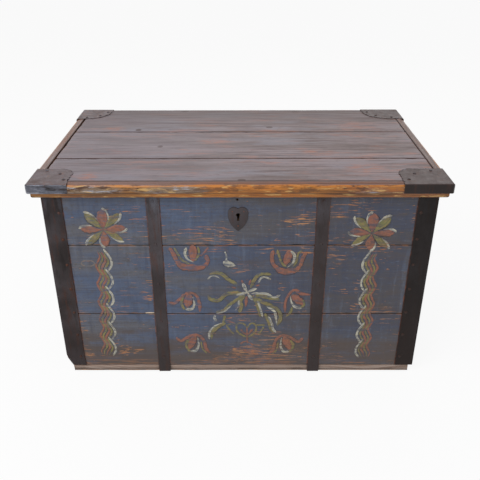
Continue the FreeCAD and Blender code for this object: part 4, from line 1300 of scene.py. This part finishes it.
class Swell(Enum):
    """How a stroke's width changes from its start to its end."""

    LEAF = "leaf"
    PETAL = "petal"
    COMMA = "comma"
    BAND = "band"

    def share(self, way: float) -> float:
        """Gives the width at a share of the way, as a share of the widest.

        Args:
            way: How far along the stroke, from 0 to 1.

        Returns:
            The share, from 0 to 1.
        """
        if self is Swell.LEAF:
            return math.sin(math.pi * min(way ** 0.8, 1.0)) ** 0.7
        if self is Swell.PETAL:
            return math.sin(math.pi * min(way ** 1.5, 1.0)) ** 0.75
        if self is Swell.COMMA:
            return min(1.0, way / 0.14) ** 0.5 * (1.0 - way) ** 0.6
        return min(1.0, way / 0.1, (1.0 - way) / 0.1) ** 0.5


RED, OLIVE, CREAM = Brush
LEAF, PETAL, COMMA, BAND = Swell


@dataclass(frozen=True)
class Stroke:
    """One brush stroke: its paint, its line and its widest width, in millimetres about the motif's middle."""

    brush: Brush
    width: float
    line: tuple[Point, ...]
    swell: Swell = BAND


def strokes(*rows: tuple[object, ...]) -> tuple[Stroke, ...]:
    """Makes strokes from rows of paint, width, line and, where it isn't a band, swell."""
    return tuple(Stroke(*row) for row in rows)


@dataclass(frozen=True)
class Motif:
    """One painted figure: where its middle is on the front, in millimetres, and its strokes."""

    name: str
    middle: Point
    strokes: tuple[Stroke, ...]
    mirror: bool = False


def smooth_line(points: Sequence[Point], steps: int) -> list[Vector]:
    """Draws a smooth line through a few points.

    Args:
        points: The points to pass through.
        steps: How many short runs each stretch gets.

    Returns:
        Points along the line.
    """
    ends = [Vector(p) for p in points]
    line = [2 * ends[0] - ends[1], *ends, 2 * ends[-1] - ends[-2]]
    drawn = []
    for a, b, c, d in zip(line, line[1:], line[2:], line[3:]):
        for step in range(steps):
            t = step / steps
            drawn.append(0.5 * (2 * b + (c - a) * t + (2 * a - 5 * b + 4 * c - d) * t * t
                                + (3 * b - a - 3 * c + d) * t ** 3))
    return [*drawn, ends[-1]]


@dataclass
class FolkPainting:
    """The flowers, wavy columns and tulips brushed on the front boards."""

    stock: Stock
    petal_angles: tuple[float, ...] = (90.0, 47.0, 6.0, -33.0, -88.0, -136.0, 178.0, 134.0)
    petal_reaches: tuple[float, ...] = (64.0, 71.0, 64.0, 63.0, 54.0, 69.0, 65.0, 71.0)
    petal_widths: tuple[float, ...] = (40.0, 29.0, 30.0, 22.0, 33.0, 24.0, 29.0, 30.0)
    edge_bows: tuple[Point, ...] = ((0.46, 0.4), (0.72, 0.44), (0.94, 0.32), (1.08, 0.04))
    edge_width: float = 11.0
    leaf_shares: tuple[float, ...] = (0.02, 0.35, 0.7, 1.0)
    column_scallops: int = 6
    column_height: float = 378.0
    relief: tuple[float, ...] = (0.18, 0.26, 0.34)
    sink: float = 0.6
    rim_sink: float = 0.12
    across_shares: tuple[float, ...] = (-1.0, -0.6, 0.0, 0.6, 1.0)
    line_steps: int = 7
    wobble: float = 0.22
    wobble_length: float = 9.0
    least_half: float = 0.25
    hair_length: float = 10.0
    last_seed: float = 90.0
    strand_lag: float = 90.0
    strand_sway: float = 6.0
    strands: tuple[tuple[Brush, float, float], ...] = (
        (RED, -20.0, 8.0), (OLIVE, -12.0, 7.5), (RED, -4.0, 9.0), (OLIVE, 4.0, 8.0))
    scallop: tuple[Point, ...] = ((-2, 0.14), (8, -0.14), (17, -0.44), (17, -0.74), (6, -1.04))
    scallop_width: float = 8.5
    cup: tuple[Stroke, ...] = strokes(
        (RED, 15.0, ((-66, 33), (-54, 10), (-45, -13), (-26, -31))),
        (RED, 27.0, ((-50, -10), (-30, -31), (0, -35), (28, -33), (45, -14)), LEAF),
        (RED, 14.0, ((36, -30), (45, -12), (38, 8))),
        (RED, 8.0, ((22, 4), (34, 14), (48, 34))),
        (OLIVE, 9.0, ((-52, 34), (-42, 12), (-30, -10), (-8, -22))),
        (RED, 31.0, ((2, 42), (3, 12), (0, -18)), LEAF),
        (OLIVE, 8.0, ((17, 36), (20, 12), (8, -12))),
        (CREAM, 12.0, ((-16, 33), (-21, 13), (-14, -6), (6, -17)), COMMA),
    )
    arch: tuple[Stroke, ...] = strokes(
        (RED, 12.0, ((-62, -4), (-46, -9), (-30, 4), (-10, 26))),
        (RED, 11.0, ((-14, 24), (8, 29), (26, 14), (32, -10))),
        (RED, 15.0, ((28, 6), (32, -14), (32, -42)), LEAF),
        (RED, 33.0, ((4, 26), (-2, 0), (-6, -26)), LEAF),
        (OLIVE, 10.0, ((-16, 16), (-23, -8), (-14, -33))),
        (CREAM, 14.0, ((-12, -31), (8, -29), (16, -10), (12, 16)), COMMA),
    )
    drop: tuple[Stroke, ...] = strokes(
        (RED, 12.0, ((-52, 24), (-38, 8), (-22, 18), (0, 33))),
        (RED, 12.0, ((-5, 32), (21, 29), (36, 7), (41, -22))),
        (RED, 15.0, ((36, -6), (42, -24), (56, -40)), LEAF),
        (RED, 31.0, ((9, 28), (-3, 2), (-14, -26)), LEAF),
        (OLIVE, 10.0, ((-12, 15), (-22, -9), (-10, -34))),
        (OLIVE, 6.0, ((26, 8), (30, -22), (44, -40))),
        (CREAM, 14.0, ((-10, -31), (8, -30), (18, -9), (16, 24)), COMMA),
    )
    goblet: tuple[Stroke, ...] = strokes(
        (RED, 14.0, ((-45, 27), (-48, 0), (-41, -24), (-20, -40))),
        (RED, 25.0, ((-43, -20), (-23, -41), (2, -46), (26, -39), (41, -16)), LEAF),
        (RED, 14.0, ((36, -30), (42, -2), (52, 22))),
        (OLIVE, 9.0, ((-33, 29), (-26, 4), (-17, -18), (-4, -29))),
        (OLIVE, 8.0, ((41, 28), (28, 14), (25, -10), (14, -29))),
        (RED, 29.0, ((6, 30), (-2, 0), (-9, -27)), LEAF),
        (CREAM, 13.0, ((6, 25), (18, 9), (15, -15), (-3, -32)), COMMA),
    )
    bud: tuple[Stroke, ...] = strokes(
        (RED, 10.0, ((8, 36), (-13, 37), (-30, 11), (-35, -16), (-34, -42))),
        (RED, 14.0, ((-6, 35), (15, 25), (43, 22)), LEAF),
        (RED, 30.0, ((-17, 21), (4, 3), (24, -17)), LEAF),
        (OLIVE, 8.0, ((18, 4), (23, -14), (10, -27))),
        (OLIVE, 11.0, ((-13, -22), (-19, -44), (-33, -60)), LEAF),
        (CREAM, 13.0, ((16, -27), (-2, -23), (-15, -8), (-21, 20)), COMMA),
    )
    bouquet: tuple[Stroke, ...] = strokes(
        (OLIVE, 14.6, ((-30, 28), (-55, 43), (-75, 63), (-94, 68), (-114, 62))),
        (CREAM, 8.2, ((-120, 45), (-108, 57), (-92, 55), (-79, 45)), COMMA),
        (OLIVE, 12.8, ((8, 14), (25, 53), (44, 64), (71, 62))),
        (CREAM, 8.2, ((31, 32), (39, 49), (54, 52), (70, 45))),
        (OLIVE, 14.6, ((-14, -2), (-62, -6), (-87, -29), (-110, -26), (-121, -12))),
        (CREAM, 9.7, ((10, -5), (54, -5), (80, -19), (99, -9))),
        (OLIVE, 14.6, ((22, -10), (45, -15), (73, -22), (99, -27))),
        (OLIVE, 12.8, ((-10, -8), (-52, -43), (-70, -63), (-98, -73))),
        (CREAM, 6.5, ((-48, -46), (-70, -68), (-97, -78))),
        (OLIVE, 14.6, ((-10, -10), (-21, -30), (-19, -50), (-25, -74))),
        (CREAM, 8.2, ((-26, -28), (-28, -50), (-39, -68)), COMMA),
        (RED, 12.0, ((-3, -14), (-4, -30), (-6, -54)), LEAF),
        (OLIVE, 10.9, ((8, -10), (24, -32), (32, -58), (40, -92))),
        (CREAM, 8.2, ((30, -30), (38, -56), (47, -92))),
        (OLIVE, 14.6, ((20, -16), (44, -35), (74, -50), (95, -67), (102, -92), (93, -123))),
        (CREAM, 11.4, ((58, -51), (82, -70), (88, -96), (91, -121)), LEAF),
        (OLIVE, 12.8, ((53, -76), (66, -109), (72, -132), (82, -150))),
        (CREAM, 9.7, ((64, -88), (76, -118), (80, -138), (90, -149))),
        (OLIVE, 20.2, ((-66, -112), (-94, -128), (-110, -150), (-112, -176)), LEAF),
        (CREAM, 11.4, ((-120, -176), (-118, -148), (-102, -125), (-74, -110)), COMMA),
        (CREAM, 9.7, ((-100, -84), (-101, -95), (-96, -107))),
        (OLIVE, 9.2, ((-70, -84), (-72, -98), (-76, -112))),
        (RED, 7.5, ((-14, 30), (-18, 44)), LEAF),
        (RED, 7.5, ((4, 26), (9, 46)), LEAF),
        (RED, 7.5, ((24, 22), (36, 26)), LEAF),
        (RED, 6.0, ((-34, 14), (-50, 20)), LEAF),
        (CREAM, 14.0, ((-15, 33), (-9, 17), (0, -2)), LEAF),
        (CREAM, 13.0, ((28, 14), (14, 8), (-1, -1)), LEAF),
        (CREAM, 15.0, ((-35, -10), (-18, -6), (1, 0)), LEAF),
        (CREAM, 13.0, ((15, -29), (7, -15), (-1, 1)), LEAF),
    )
    heart: tuple[Stroke, ...] = strokes(
        (OLIVE, 7.6, ((0, 16), (-13, 34), (-32, 29), (-31, 4), (-16, -11), (0, -19))),
        (OLIVE, 7.6, ((0, 16), (13, 34), (28, 24), (24, -1), (13, -12), (0, -19))),
        (OLIVE, 6.8, ((27, 27), (40, 27), (56, 27))),
        (OLIVE, 6.8, ((52, 22), (43, 4), (33, -8))),
        (OLIVE, 6.8, ((-31, 30), (-46, 32), (-62, 28))),
        (OLIVE, 6.8, ((-66, 30), (-54, 8), (-40, -8))),
        (RED, 6.3, ((1, -44), (0, -18), (-1, 20))),
        (RED, 9.8, ((-20, 11), (-10, -2), (0, -12)), COMMA),
        (RED, 9.8, ((16, 11), (8, -2), (0, -12)), COMMA),
        (RED, 9.8, ((-22, -46), (-12, -38), (0, -34)), COMMA),
        (RED, 8.4, ((20, -52), (10, -42), (0, -36)), COMMA),
    )
    bird: tuple[Stroke, ...] = strokes(
        (CREAM, 27.0, ((-17, 2), (-1, -5), (20, -11)), LEAF),
        (CREAM, 6.0, ((-8, 4), (-6, 20), (-10, 33), (-13, 35))),
    )
    rng: random.Random = field(default_factory=lambda: random.Random(7))

    def petals(self) -> tuple[Stroke, ...]:
        """Draws a rosette: petals, red and olive by turns, each with a cream edge on its clockwise side.

        Returns:
            The strokes in the order of painting.
        """
        drawn = []
        sizes = zip(self.petal_angles, self.petal_reaches, self.petal_widths)
        for i, (degrees, reach, wide) in enumerate(sizes):
            angle = math.radians(degrees)
            out = Vector((math.cos(angle), math.sin(angle)))
            side = Vector((math.sin(angle), -math.cos(angle)))
            leaf = [out * reach * t for t in self.leaf_shares]
            edge = [out * reach * t + side * wide * s for t, s in reversed(self.edge_bows)]
            drawn.append((RED if i % 2 == 0 else OLIVE, wide, tuple(map(tuple, leaf)), PETAL))
            drawn.append((CREAM, self.edge_width, tuple(map(tuple, edge)), COMMA))
        return strokes(*drawn)

    def column(self, drift: float) -> tuple[Stroke, ...]:
        """Draws a wavy column: long strands that sway side by side, with cream scallops down their right.

        Args:
            drift: How far its foot lies to the right of its top, in millimetres.

        Returns:
            The column's strokes.
        """
        rise = self.column_height / self.column_scallops
        drawn = []
        for brush, offset, width in self.strands:
            line = []
            for quarter in range(4 * self.column_scallops + 1):
                share = quarter / 4
                sway = -self.strand_sway * math.cos(math.tau * (share - offset / self.strand_lag))
                line.append((drift * share / self.column_scallops + offset + sway, -share * rise))
            drawn.append((brush, width, tuple(line)))
        for i in range(self.column_scallops):
            x = drift * i / self.column_scallops
            line = tuple((x + px, (share - i) * rise) for px, share in self.scallop)
            drawn.append((CREAM, self.scallop_width, line))
        return strokes(*drawn)

    def motifs(self) -> tuple[Motif, ...]:
        """Lists the figures and their places on the front.

        Returns:
            The figures in the order of painting.
        """
        return (
            Motif("rosette_left", (-389, 514), self.petals()),
            Motif("rosette_right", (377, 502), self.petals(), True),
            Motif("wavy_column_left", (-394, 444), self.column(-21.0)),
            Motif("wavy_column_right", (378, 436), self.column(-8.0), True),
            Motif("tulip_upper_left", (-139, 424), self.cup),
            Motif("tulip_upper_right", (141, 421), self.goblet),
            Motif("tulip_middle_left", (-155, 272), self.arch),
            Motif("tulip_middle_right", (172, 272), self.bud),
            Motif("tulip_lower_left", (-149, 113), self.drop),
            Motif("tulip_lower_right", (146, 110), self.drop, True),
            Motif("bouquet", (23, 303), self.bouquet),
            Motif("heart_sprig", (22, 155), self.heart),
            Motif("swan", (-33, 407), self.bird),
        )

    def lay(self, shape: Shape, motif: Motif, stroke: Stroke) -> None:
        """Lays one stroke on the boards as a thin raised ribbon.

        Args:
            shape: The motif's mesh.
            motif: The figure that the stroke belongs to.
            stroke: The stroke.
        """
        uv = shape.loops.layers.uv.verify()
        flip = -1.0 if motif.mirror else 1.0
        line = smooth_line(stroke.line, self.line_steps)
        run, reached = [0.0], 0.0
        for a, b in zip(line, line[1:]):
            reached += (b - a).length
            run.append(reached)
        lift = self.relief[stroke.brush.value]
        seed = self.rng.uniform(0, self.last_seed)

        def dab(point: Vector, rise: float) -> bmesh.types.BMVert:
            """Sets one point of the ribbon, at a rise above the boards in millimetres."""
            x, z = motif.middle[0] + flip * point.x, motif.middle[1] + point.y
            return shape.verts.new((x * MM, FRONT_FACE - rise * MM, z * MM))

        rows = []
        for i, point in enumerate(line):
            ahead = line[min(i + 1, len(line) - 1)] - line[max(i - 1, 0)]
            side = Vector((-ahead.y, ahead.x)).normalized()
            way = run[i] / reached
            wobble = 1.0 + self.wobble * noise.noise(Vector((seed, run[i] / self.wobble_length, 0.0)))
            half = max(0.5 * stroke.width * stroke.swell.share(way) * wobble, self.least_half)
            row = [dab(point + side * half * across, lift * (1.0 - across ** 4) - self.rim_sink * across ** 4)
                   for across in self.across_shares]
            row.append(dab(point, -self.sink))
            rows.append(row)
        count = len(rows[0])
        for i, (low, high) in enumerate(zip(rows, rows[1:])):
            for j in range(count):
                k = (j + 1) % count
                corners = (low[j], low[k], high[k], high[j])
                face = shape.faces.new(corners if flip > 0 else corners[::-1])
                face.material_index = stroke.brush.value
                face.smooth = True
                pairs = ((run[i], j), (run[i], j + 1), (run[i + 1], j + 1), (run[i + 1], j))
                for loop, (along, sideways) in zip(face.loops, pairs if flip > 0 else pairs[::-1]):
                    loop[uv].uv = (along / self.hair_length + seed, min(sideways / (count - 2), 1.0))
        for row, turn in ((rows[0], -1), (rows[-1], 1)):
            face = shape.faces.new(row[::int(turn * flip)])
            face.material_index = stroke.brush.value

    def build(self) -> list[Piece]:
        """Paints every figure.

        Returns:
            One piece for each figure.
        """
        pieces = []
        for motif in self.motifs():
            shape = bmesh.new()
            for stroke in motif.strokes:
                self.lay(shape, motif, stroke)
            bmesh.ops.recalc_face_normals(shape, faces=shape.faces)
            piece = new_piece("painted_" + motif.name, shape, "case")
            self.stock.dress(piece, "brush_red", "brush_olive", "brush_cream")
            pieces.append(piece)
        return pieces


@dataclass
class Boards:
    """The case, base and lid boards, the moulding round the lid and the till."""

    stock: Stock
    stride: float = 9.0
    rim_cuts: tuple[float, ...] = (1.0, 2.4, 5.0, 9.0)
    face_cuts: tuple[float, ...] = (1.0, 3.0)
    across_stride: float = 13.0
    nose_stride: float = 6.0
    nose_wave: float = 0.5
    nose_wave_length: float = 30.0
    nose_dent: float = 1.6
    nose_dent_length: float = 13.0
    nose_dent_level: float = 0.3
    nose_crisp: float = 50.0
    end_gap: float = 3.4
    end_skin: float = 0.1
    end_ripple: float = 0.3
    end_length: float = 80.0
    front_wear: EdgeWear = EdgeWear(soft=0.7, chip=2.4, reach=7.0, hollow=0.25)
    lid_wear: EdgeWear = EdgeWear(soft=1.3, chip=3.0, reach=9.0, hollow=0.5)
    base_wear: EdgeWear = EdgeWear(soft=2.4, chip=3.0, reach=14.0, hollow=0.8)
    inner_wear: EdgeWear = EdgeWear(soft=0.9, chip=1.2, reach=6.0, hollow=0.2)
    knock: Knock = Knock()
    walls: tuple[tuple[str, Run, str], ...] = (
        ("front", Run.ALONG_X, "blue_boards_long"), ("back", Run.ALONG_X, "back_pine"),
        ("left", Run.ALONG_Y, "blue_boards_end"), ("right", Run.ALONG_Y, "blue_boards_end"))

    @property
    def rim(self) -> float:
        """The width of the finely cut rim, in metres."""
        return max(self.rim_cuts) * MM

    def cuts(self, node: str, run: Run) -> list[list[float]]:
        """Lists the cuts of a board: many along its length, a few close to its edges.

        Args:
            node: The board's node.
            run: The way its length runs.

        Returns:
            The places of the cuts along x, y and z.
        """
        low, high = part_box(node)
        thin = min(range(3), key=lambda axis: high[axis] - low[axis])
        lists = []
        for axis in range(3):
            if axis == run.value[0]:
                lists.append(steps(low[axis], high[axis], self.stride * MM))
            else:
                depths = self.face_cuts if axis == thin else self.rim_cuts
                lists.append(rims(low[axis], high[axis], [depth * MM for depth in depths]))
                if axis != thin:
                    lists[-1] += steps(low[axis] + self.rim, high[axis] - self.rim, self.across_stride * MM)
        return lists

    def shortened(self, node: str, wear: Wear) -> Wear:
        """Draws a lid board's left end back from the moulding, as the dry wood has shrunk.

        Args:
            node: The board's node.
            wear: The board's other wear.

        Returns:
            The wear with the gap added.
        """
        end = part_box(node)[0].x

        def drawn_in(place: Vector, normal: Vector) -> Vector:
            """Moves a point of the left end inwards.

            Args:
                place: Where the point is, in metres.
                normal: The way the surface faces there.

            Returns:
                How far the point moves, in metres.
            """
            move = wear(place, normal)
            if place.x - end < self.end_skin * MM:
                uneven = 1.0 + self.end_ripple * ripple(place, self.end_length * MM, 3.0)
                move.x += self.end_gap * MM * uneven
            return move

        return drawn_in

    def moulding(self, node: str, run: Run, seed: float) -> Piece:
        """Wears one length of the lid's moulding: dents along its nose and a wavy face.

        Args:
            node: The moulding's node.
            run: The way its length runs.
            seed: A number of its own.

        Returns:
            The worn moulding.
        """
        low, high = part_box(node)
        lists: list[list[float]] = [[], [], []]
        first = run.value[0]
        lists[first] = steps(low[first], high[first], self.nose_stride * MM)

        def wear(place: Vector, normal: Vector) -> Vector:
            """Moves a point of the nose inwards.

            Args:
                place: Where the point is, in metres.
                normal: The way the surface faces there.

            Returns:
                How far the point moves, in metres.
            """
            long = place.copy()
            long[first] *= 0.5
            dent = max(ripple(long, self.nose_dent_length * MM, seed + 5) - self.nose_dent_level, 0.0)
            sunk = self.nose_wave * wave(long, self.nose_wave_length * MM, seed) + self.nose_dent * dent
            return -normal * sunk * MM

        return worn_copy(node, lists, wear, self.nose_crisp)

    def build(self) -> list[Piece]:
        """Wears and dresses every board.

        Returns:
            The worn boards.
        """
        made = []
        for number, level in enumerate(LEVELS):
            for wall, (side, run, finish) in enumerate(self.walls):
                node = f"{side}_plank_{level}"
                wear = self.knock.over(self.front_wear.on(node, number + 1.0 + 11.0 * wall))
                made.append((worn_copy(node, self.cuts(node, run), wear), finish))
        for number, place in enumerate(("front", "middle", "back")):
            node = f"base_plank_{place}"
            wear = self.knock.over(self.base_wear.on(node, number + 5.0))
            made.append((worn_copy(node, self.cuts(node, Run.ALONG_X), wear), "base_pine"))
            node = f"lid_plank_{place}"
            wear = self.shortened(node, self.lid_wear.on(node, number + 5.0))
            made.append((worn_copy(node, self.cuts(node, Run.ALONG_X), wear), "lid_boards"))
        made.append((self.moulding("lid_moulding_front", Run.ALONG_X, 2.0), "moulding_long"))
        for number, side in enumerate(SIDES):
            made.append((self.moulding(f"lid_moulding_{side}", Run.ALONG_Y, 4.0 + number), "moulding_end"))
        for number, node in enumerate(("lid_batten_left", "lid_batten_right", "till_wall", "till_floor")):
            wear = self.inner_wear.on(node, 60.0 + number)
            made.append((worn_copy(node, self.cuts(node, Run.ALONG_Y), wear), "batten_pine"))
        for piece, finish in made:
            self.stock.dress(piece, finish)
        return [piece for piece, _ in made]


@dataclass
class Ironwork:
    """The straps, corner irons, lid corners, hinges, lock, handles and nails."""

    stock: Stock
    strap_stride: float = 14.0
    strap_wave: float = 0.35
    strap_wave_length: float = 40.0
    strap_nick: float = 0.6
    strap_nick_length: float = 12.0
    short_strap: float = 200.0
    corner_stride: float = 4.0
    corner_ragged: float = 12.0
    corner_inset: float = 14.0
    corner_fold: float = 4.0
    corner_tear_length: float = 7.0
    corner_dent: float = 0.5
    corner_dent_length: float = 20.0
    corner_crisp: float = 35.0
    flat_normal: float = 0.9
    head_sides: int = 7
    head_rings: tuple[Point, ...] = ((1.0, -0.4), (1.02, 0.12), (0.72, 0.62), (0.34, 0.92))
    head_spread: Point = (0.88, 1.08)
    head_rise: Point = (0.88, 1.0)
    head_rim: float = 0.9
    bail_round: float = 1.5
    eye_round: float = 0.7
    rod_flat: float = 4.0
    rod_bend: float = 12.0
    knock: Knock = Knock()
    rng: random.Random = field(default_factory=lambda: random.Random(11))

    def strap(self, node: str, seed: float) -> Piece:
        """Wears a flat iron: uneven faces, hand-cut edges.

        Args:
            node: The iron's node.
            seed: A number of its own.

        Returns:
            The worn iron. A short one is left uncut.
        """
        low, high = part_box(node)
        lists = [steps(low[axis], high[axis], self.strap_stride * MM) for axis in range(3)]
        if max(high - low) <= self.short_strap * MM:
            lists = []

        def wear(place: Vector, normal: Vector) -> Vector:
            """Moves a point of the iron inwards.

            Args:
                place: Where the point is, in metres.
                normal: The way the surface faces there.

            Returns:
                How far the point moves, in metres.
            """
            if max(abs(part) for part in normal) < self.flat_normal:
                return -normal * self.strap_nick * wave(place, self.strap_nick_length * MM, seed + 3) * MM
            return -normal * self.strap_wave * wave(place, self.strap_wave_length * MM, seed) * MM

        return worn_copy(node, lists, self.knock.over(wear))

    def lid_corner(self, node: str, seed: float) -> Piece:
        """Wears a lid corner: a ragged inner edge and a dented sheet.

        Args:
            node: The corner's node.
            seed: A number of its own.

        Returns:
            The worn corner.
        """
        low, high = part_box(node)
        lists = [steps(low[axis], high[axis], self.corner_stride * MM) for axis in range(3)]
        outer = Vector((low.x if low.x < 0 else high.x, low.y if low.y < 0 else high.y, 0.0))

        def wear(place: Vector, normal: Vector) -> Vector:
            """Tears a point of the inner edge back towards the corner, and dents the sheet.

            Args:
                place: Where the point is, in metres.
                normal: The way the surface faces there.

            Returns:
                How far the point moves, in metres.
            """
            inset = min(abs(place.x - outer.x), abs(place.y - outer.y)) > self.corner_inset * MM
            dents = self.corner_dent_length * MM
            if inset and normal.z < self.flat_normal and place.z > high.z - self.corner_fold * MM:
                fine = ripple(place, self.corner_tear_length * MM, seed)
                tear = max(fine, 0.0) + 0.5 * max(ripple(place, dents, seed + 2), 0.0)
                back = Vector((outer.x - place.x, outer.y - place.y, 0.0)).normalized()
                return back * tear * self.corner_ragged * MM
            return -normal * self.corner_dent * MM * wave(place, dents, seed + 6)

        return worn_copy(node, lists, wear, self.corner_crisp)

    def rounded(self, node: str, by: float) -> Piece:
        """Forges a handle piece with its edges hammered round.

        Args:
            node: The piece's node.
            by: How far the rounding reaches from an edge, in millimetres.

        Returns:
            The rounded piece, in the node's place.
        """
        shape = solid_copy(node, self.rod_flat)
        least = math.radians(self.rod_bend)
        bends = [edge for edge in shape.edges if edge.is_manifold and edge.calc_face_angle() > least]
        bmesh.ops.bevel(shape, geom=bends, offset=by * MM, offset_type="OFFSET", segments=3, profile=0.5,
                        affect="EDGES", clamp_overlap=True)
        return stand_in("forged", node, shape, CRISP)

    def nail_heads(self, node: str) -> Piece:
        """Forges a hammered head over each nail of a group.

        Args:
            node: The group's node.

        Returns:
            One piece with all the heads.
        """
        source, shape = solid_copy(node), bmesh.new()
        left = dict.fromkeys(source.verts)
        while left:
            stack, island = [next(iter(left))], []
            del left[stack[0]]
            while stack:
                vert = stack.pop()
                island.append(vert.co.copy())
                for edge in vert.link_edges:
                    other = edge.other_vert(vert)
                    if other in left:
                        del left[other]
                        stack.append(other)
            self.forge(shape, island)
        source.free()
        return stand_in("forged", node, shape)

    def forge(self, shape: Shape, island: list[Vector]) -> None:
        """Makes one head where a nail is.

        Args:
            shape: The mesh that takes the head.
            island: The points of the nail's solid.
        """
        low = Vector(min(p[axis] for p in island) for axis in range(3))
        high = Vector(max(p[axis] for p in island) for axis in range(3))
        middle = (low + high) / 2
        box_low, box_high = CAD_BOX
        walls = [(middle[axis] - box_low[axis], axis, -1.0) for axis in range(2)]
        walls += [(box_high[axis] - middle[axis], axis, 1.0) for axis in range(3)]
        _, axis, way = min(walls)
        tip = high[axis] if way > 0 else low[axis]
        rest = [i for i in range(3) if i != axis]
        spread = max(high[i] - low[i] for i in rest) / 2
        wide = [p for p in island if max(abs(p[i] - middle[i]) for i in rest) > self.head_rim * spread]
        seat = sum(p[axis] for p in wide) / len(wide)
        height = abs(tip - seat)
        turn = self.rng.uniform(0, math.tau)
        rows = []
        for share, rise in self.head_rings:
            row = []
            for i in range(self.head_sides):
                angle = turn + math.tau * i / self.head_sides
                radius = spread * share * self.rng.uniform(*self.head_spread)
                point = middle.copy()
                point[rest[0]] += radius * math.cos(angle)
                point[rest[1]] += radius * math.sin(angle)
                point[axis] = seat + way * height * rise * self.rng.uniform(*self.head_rise)
                row.append(shape.verts.new(point))
            rows.append(row)
        faces = []
        for under, over in zip(rows, rows[1:]):
            for i in range(self.head_sides):
                k = (i + 1) % self.head_sides
                faces.append(shape.faces.new((under[i], under[k], over[k], over[i])))
        faces += [shape.faces.new(rows[0][::-1]), shape.faces.new(rows[-1])]
        bmesh.ops.recalc_face_normals(shape, faces=faces)

    def build(self) -> list[Piece]:
        """Forges the irons that show most, and dresses them all.

        Returns:
            The pieces and the dressed nodes.
        """
        made = []
        for number, (name, node) in enumerate(frame["nodes"].items()):
            piece, seed = node, 0.7 * number
            if "nails" in name:
                piece = self.nail_heads(name)
                finish = "rusty_iron" if name.startswith("corner") else "nail_iron"
            elif name.startswith("lid_corner"):
                piece, finish = self.lid_corner(name, seed), "lid_iron"
            elif name.startswith(("corner_iron", "front_strap", "hinge_strap", "hinge_leaf")):
                piece = self.strap(name, seed)
                finish = "corner_iron" if name.startswith("corner") else "wrought_iron"
            elif "handle" in name:
                piece = self.rounded(name, self.eye_round if "eye" in name else self.bail_round)
                finish = "wrought_iron"
            elif name.startswith(("lock_", "key_post")):
                finish = "lock_iron"
            elif name.startswith("hinge_pin"):
                finish = "wrought_iron"
            elif name == "keyhole_plate":
                finish = "heart_iron"
            else:
                continue
            self.stock.dress(piece, finish)
            made.append(piece)
        return made


@dataclass
class Studio:
    """A plain pale floor, soft light and the camera at the photograph's place."""

    camera_place: tuple[float, float, float] = (0.0030, -1.8886, 1.3117)
    camera_pitch: float = 28.01
    camera_yaw: float = 0.1046
    camera_roll: float = 0.0898
    lens: float = 46.16
    sensor: float = 36.0
    floor_half: float = 30.0
    floor_colour: tuple[float, ...] = (0.86, 0.86, 0.86, 1.0)
    floor_glow: float = 0.9
    sky: float = 0.545
    key_power: float = 95.0
    key_size: float = 2.6
    key_place: tuple[float, float, float] = (-1.9, -2.3, 3.3)
    back_power: float = 16.0
    back_size: float = 3.0
    back_place: tuple[float, float, float] = (0.6, 2.6, 3.0)
    aim: tuple[float, float, float] = (0.0, 0.0, 0.4)

    def build(self) -> None:
        """Sets up the floor, the light and the camera."""
        self.floor()
        self.light_sky()
        self.softbox("key_light", self.key_place, self.key_power, self.key_size)
        self.softbox("back_light", self.back_place, self.back_power, self.back_size)
        self.camera()
        bpy.context.scene.view_settings.view_transform = "Standard"

    def seen(self, graph: Graph) -> Wire:
        """Tells the rays that look at a surface from those that only light it."""
        rays, kinds = graph.add("LightPath").outputs, ("Camera", "Glossy", "Transmission")
        return graph.most(*(Wire(graph, rays[f"Is {kind} Ray"]) for kind in kinds))

    def floor(self) -> None:
        """Lays the pale floor, which keeps a soft shadow."""
        shape = bmesh.new()
        bmesh.ops.create_grid(shape, x_segments=1, y_segments=1, size=self.floor_half)
        plane = mesh_object("floor", shape)
        material = bpy.data.materials.new("pale_floor")
        graph = Graph.over(material)
        matt = graph.out("BsdfDiffuse", {"Color": self.floor_colour})
        blend = graph.out("MixShader", (self.seen(graph) * self.floor_glow, matt, graph.out("Emission")))
        graph.add("OutputMaterial", {"Surface": blend})
        plane.data.materials.append(material)

    def light_sky(self) -> None:
        """Lights the scene evenly from all round, and shows white behind it."""
        world = bpy.data.worlds.new("studio")
        bpy.context.scene.world = world
        graph = Graph.over(world)
        strength = self.seen(graph).between(self.sky, 1.0)
        graph.add("OutputWorld", {"Surface": graph.out("Background", {"Color": WHITE, "Strength": strength})})

    def softbox(self, name: str, place: Sequence[float], power: float, size: float) -> None:
        """Hangs one square soft light that faces the trunk's middle.

        Args:
            name: The light's name.
            place: Where it hangs, in metres.
            power: Its power in watts.
            size: Its side in metres.
        """
        lamp = bpy.data.lights.new(name, "AREA")
        lamp.energy = power
        lamp.size = size
        hung = scene_object(name, lamp)
        hung.location = place
        hung.rotation_euler = (Vector(self.aim) - Vector(place)).to_track_quat("-Z", "Y").to_euler()

    def camera(self) -> None:
        """Sets the camera where the photograph was taken from."""
        lens = bpy.data.cameras.new("camera")
        lens.sensor_width = self.sensor
        lens.lens = self.lens
        eye = scene_object("camera", lens)
        turn = (Matrix.Rotation(math.radians(self.camera_yaw), 4, "Z")
                @ Matrix.Rotation(math.radians(90.0 - self.camera_pitch), 4, "X")
                @ Matrix.Rotation(-math.radians(self.camera_roll), 4, "Z"))
        eye.matrix_world = Matrix.Translation(self.camera_place) @ turn
        bpy.context.scene.camera = eye


def main() -> None:
    """Builds the trunk's looks and the studio, and reports each piece."""
    logging.basicConfig(level=logging.INFO, format="%(name)s: %(message)s")
    stock = Stock()
    for assembly in (Boards(stock), Ironwork(stock), FolkPainting(stock)):
        for piece in assembly.build():
            LOG.info("%s: %s, %d faces", type(assembly).__name__, piece.name, len(piece.data.polygons))
    Studio().build()


if __name__ == "__main__":
    main()
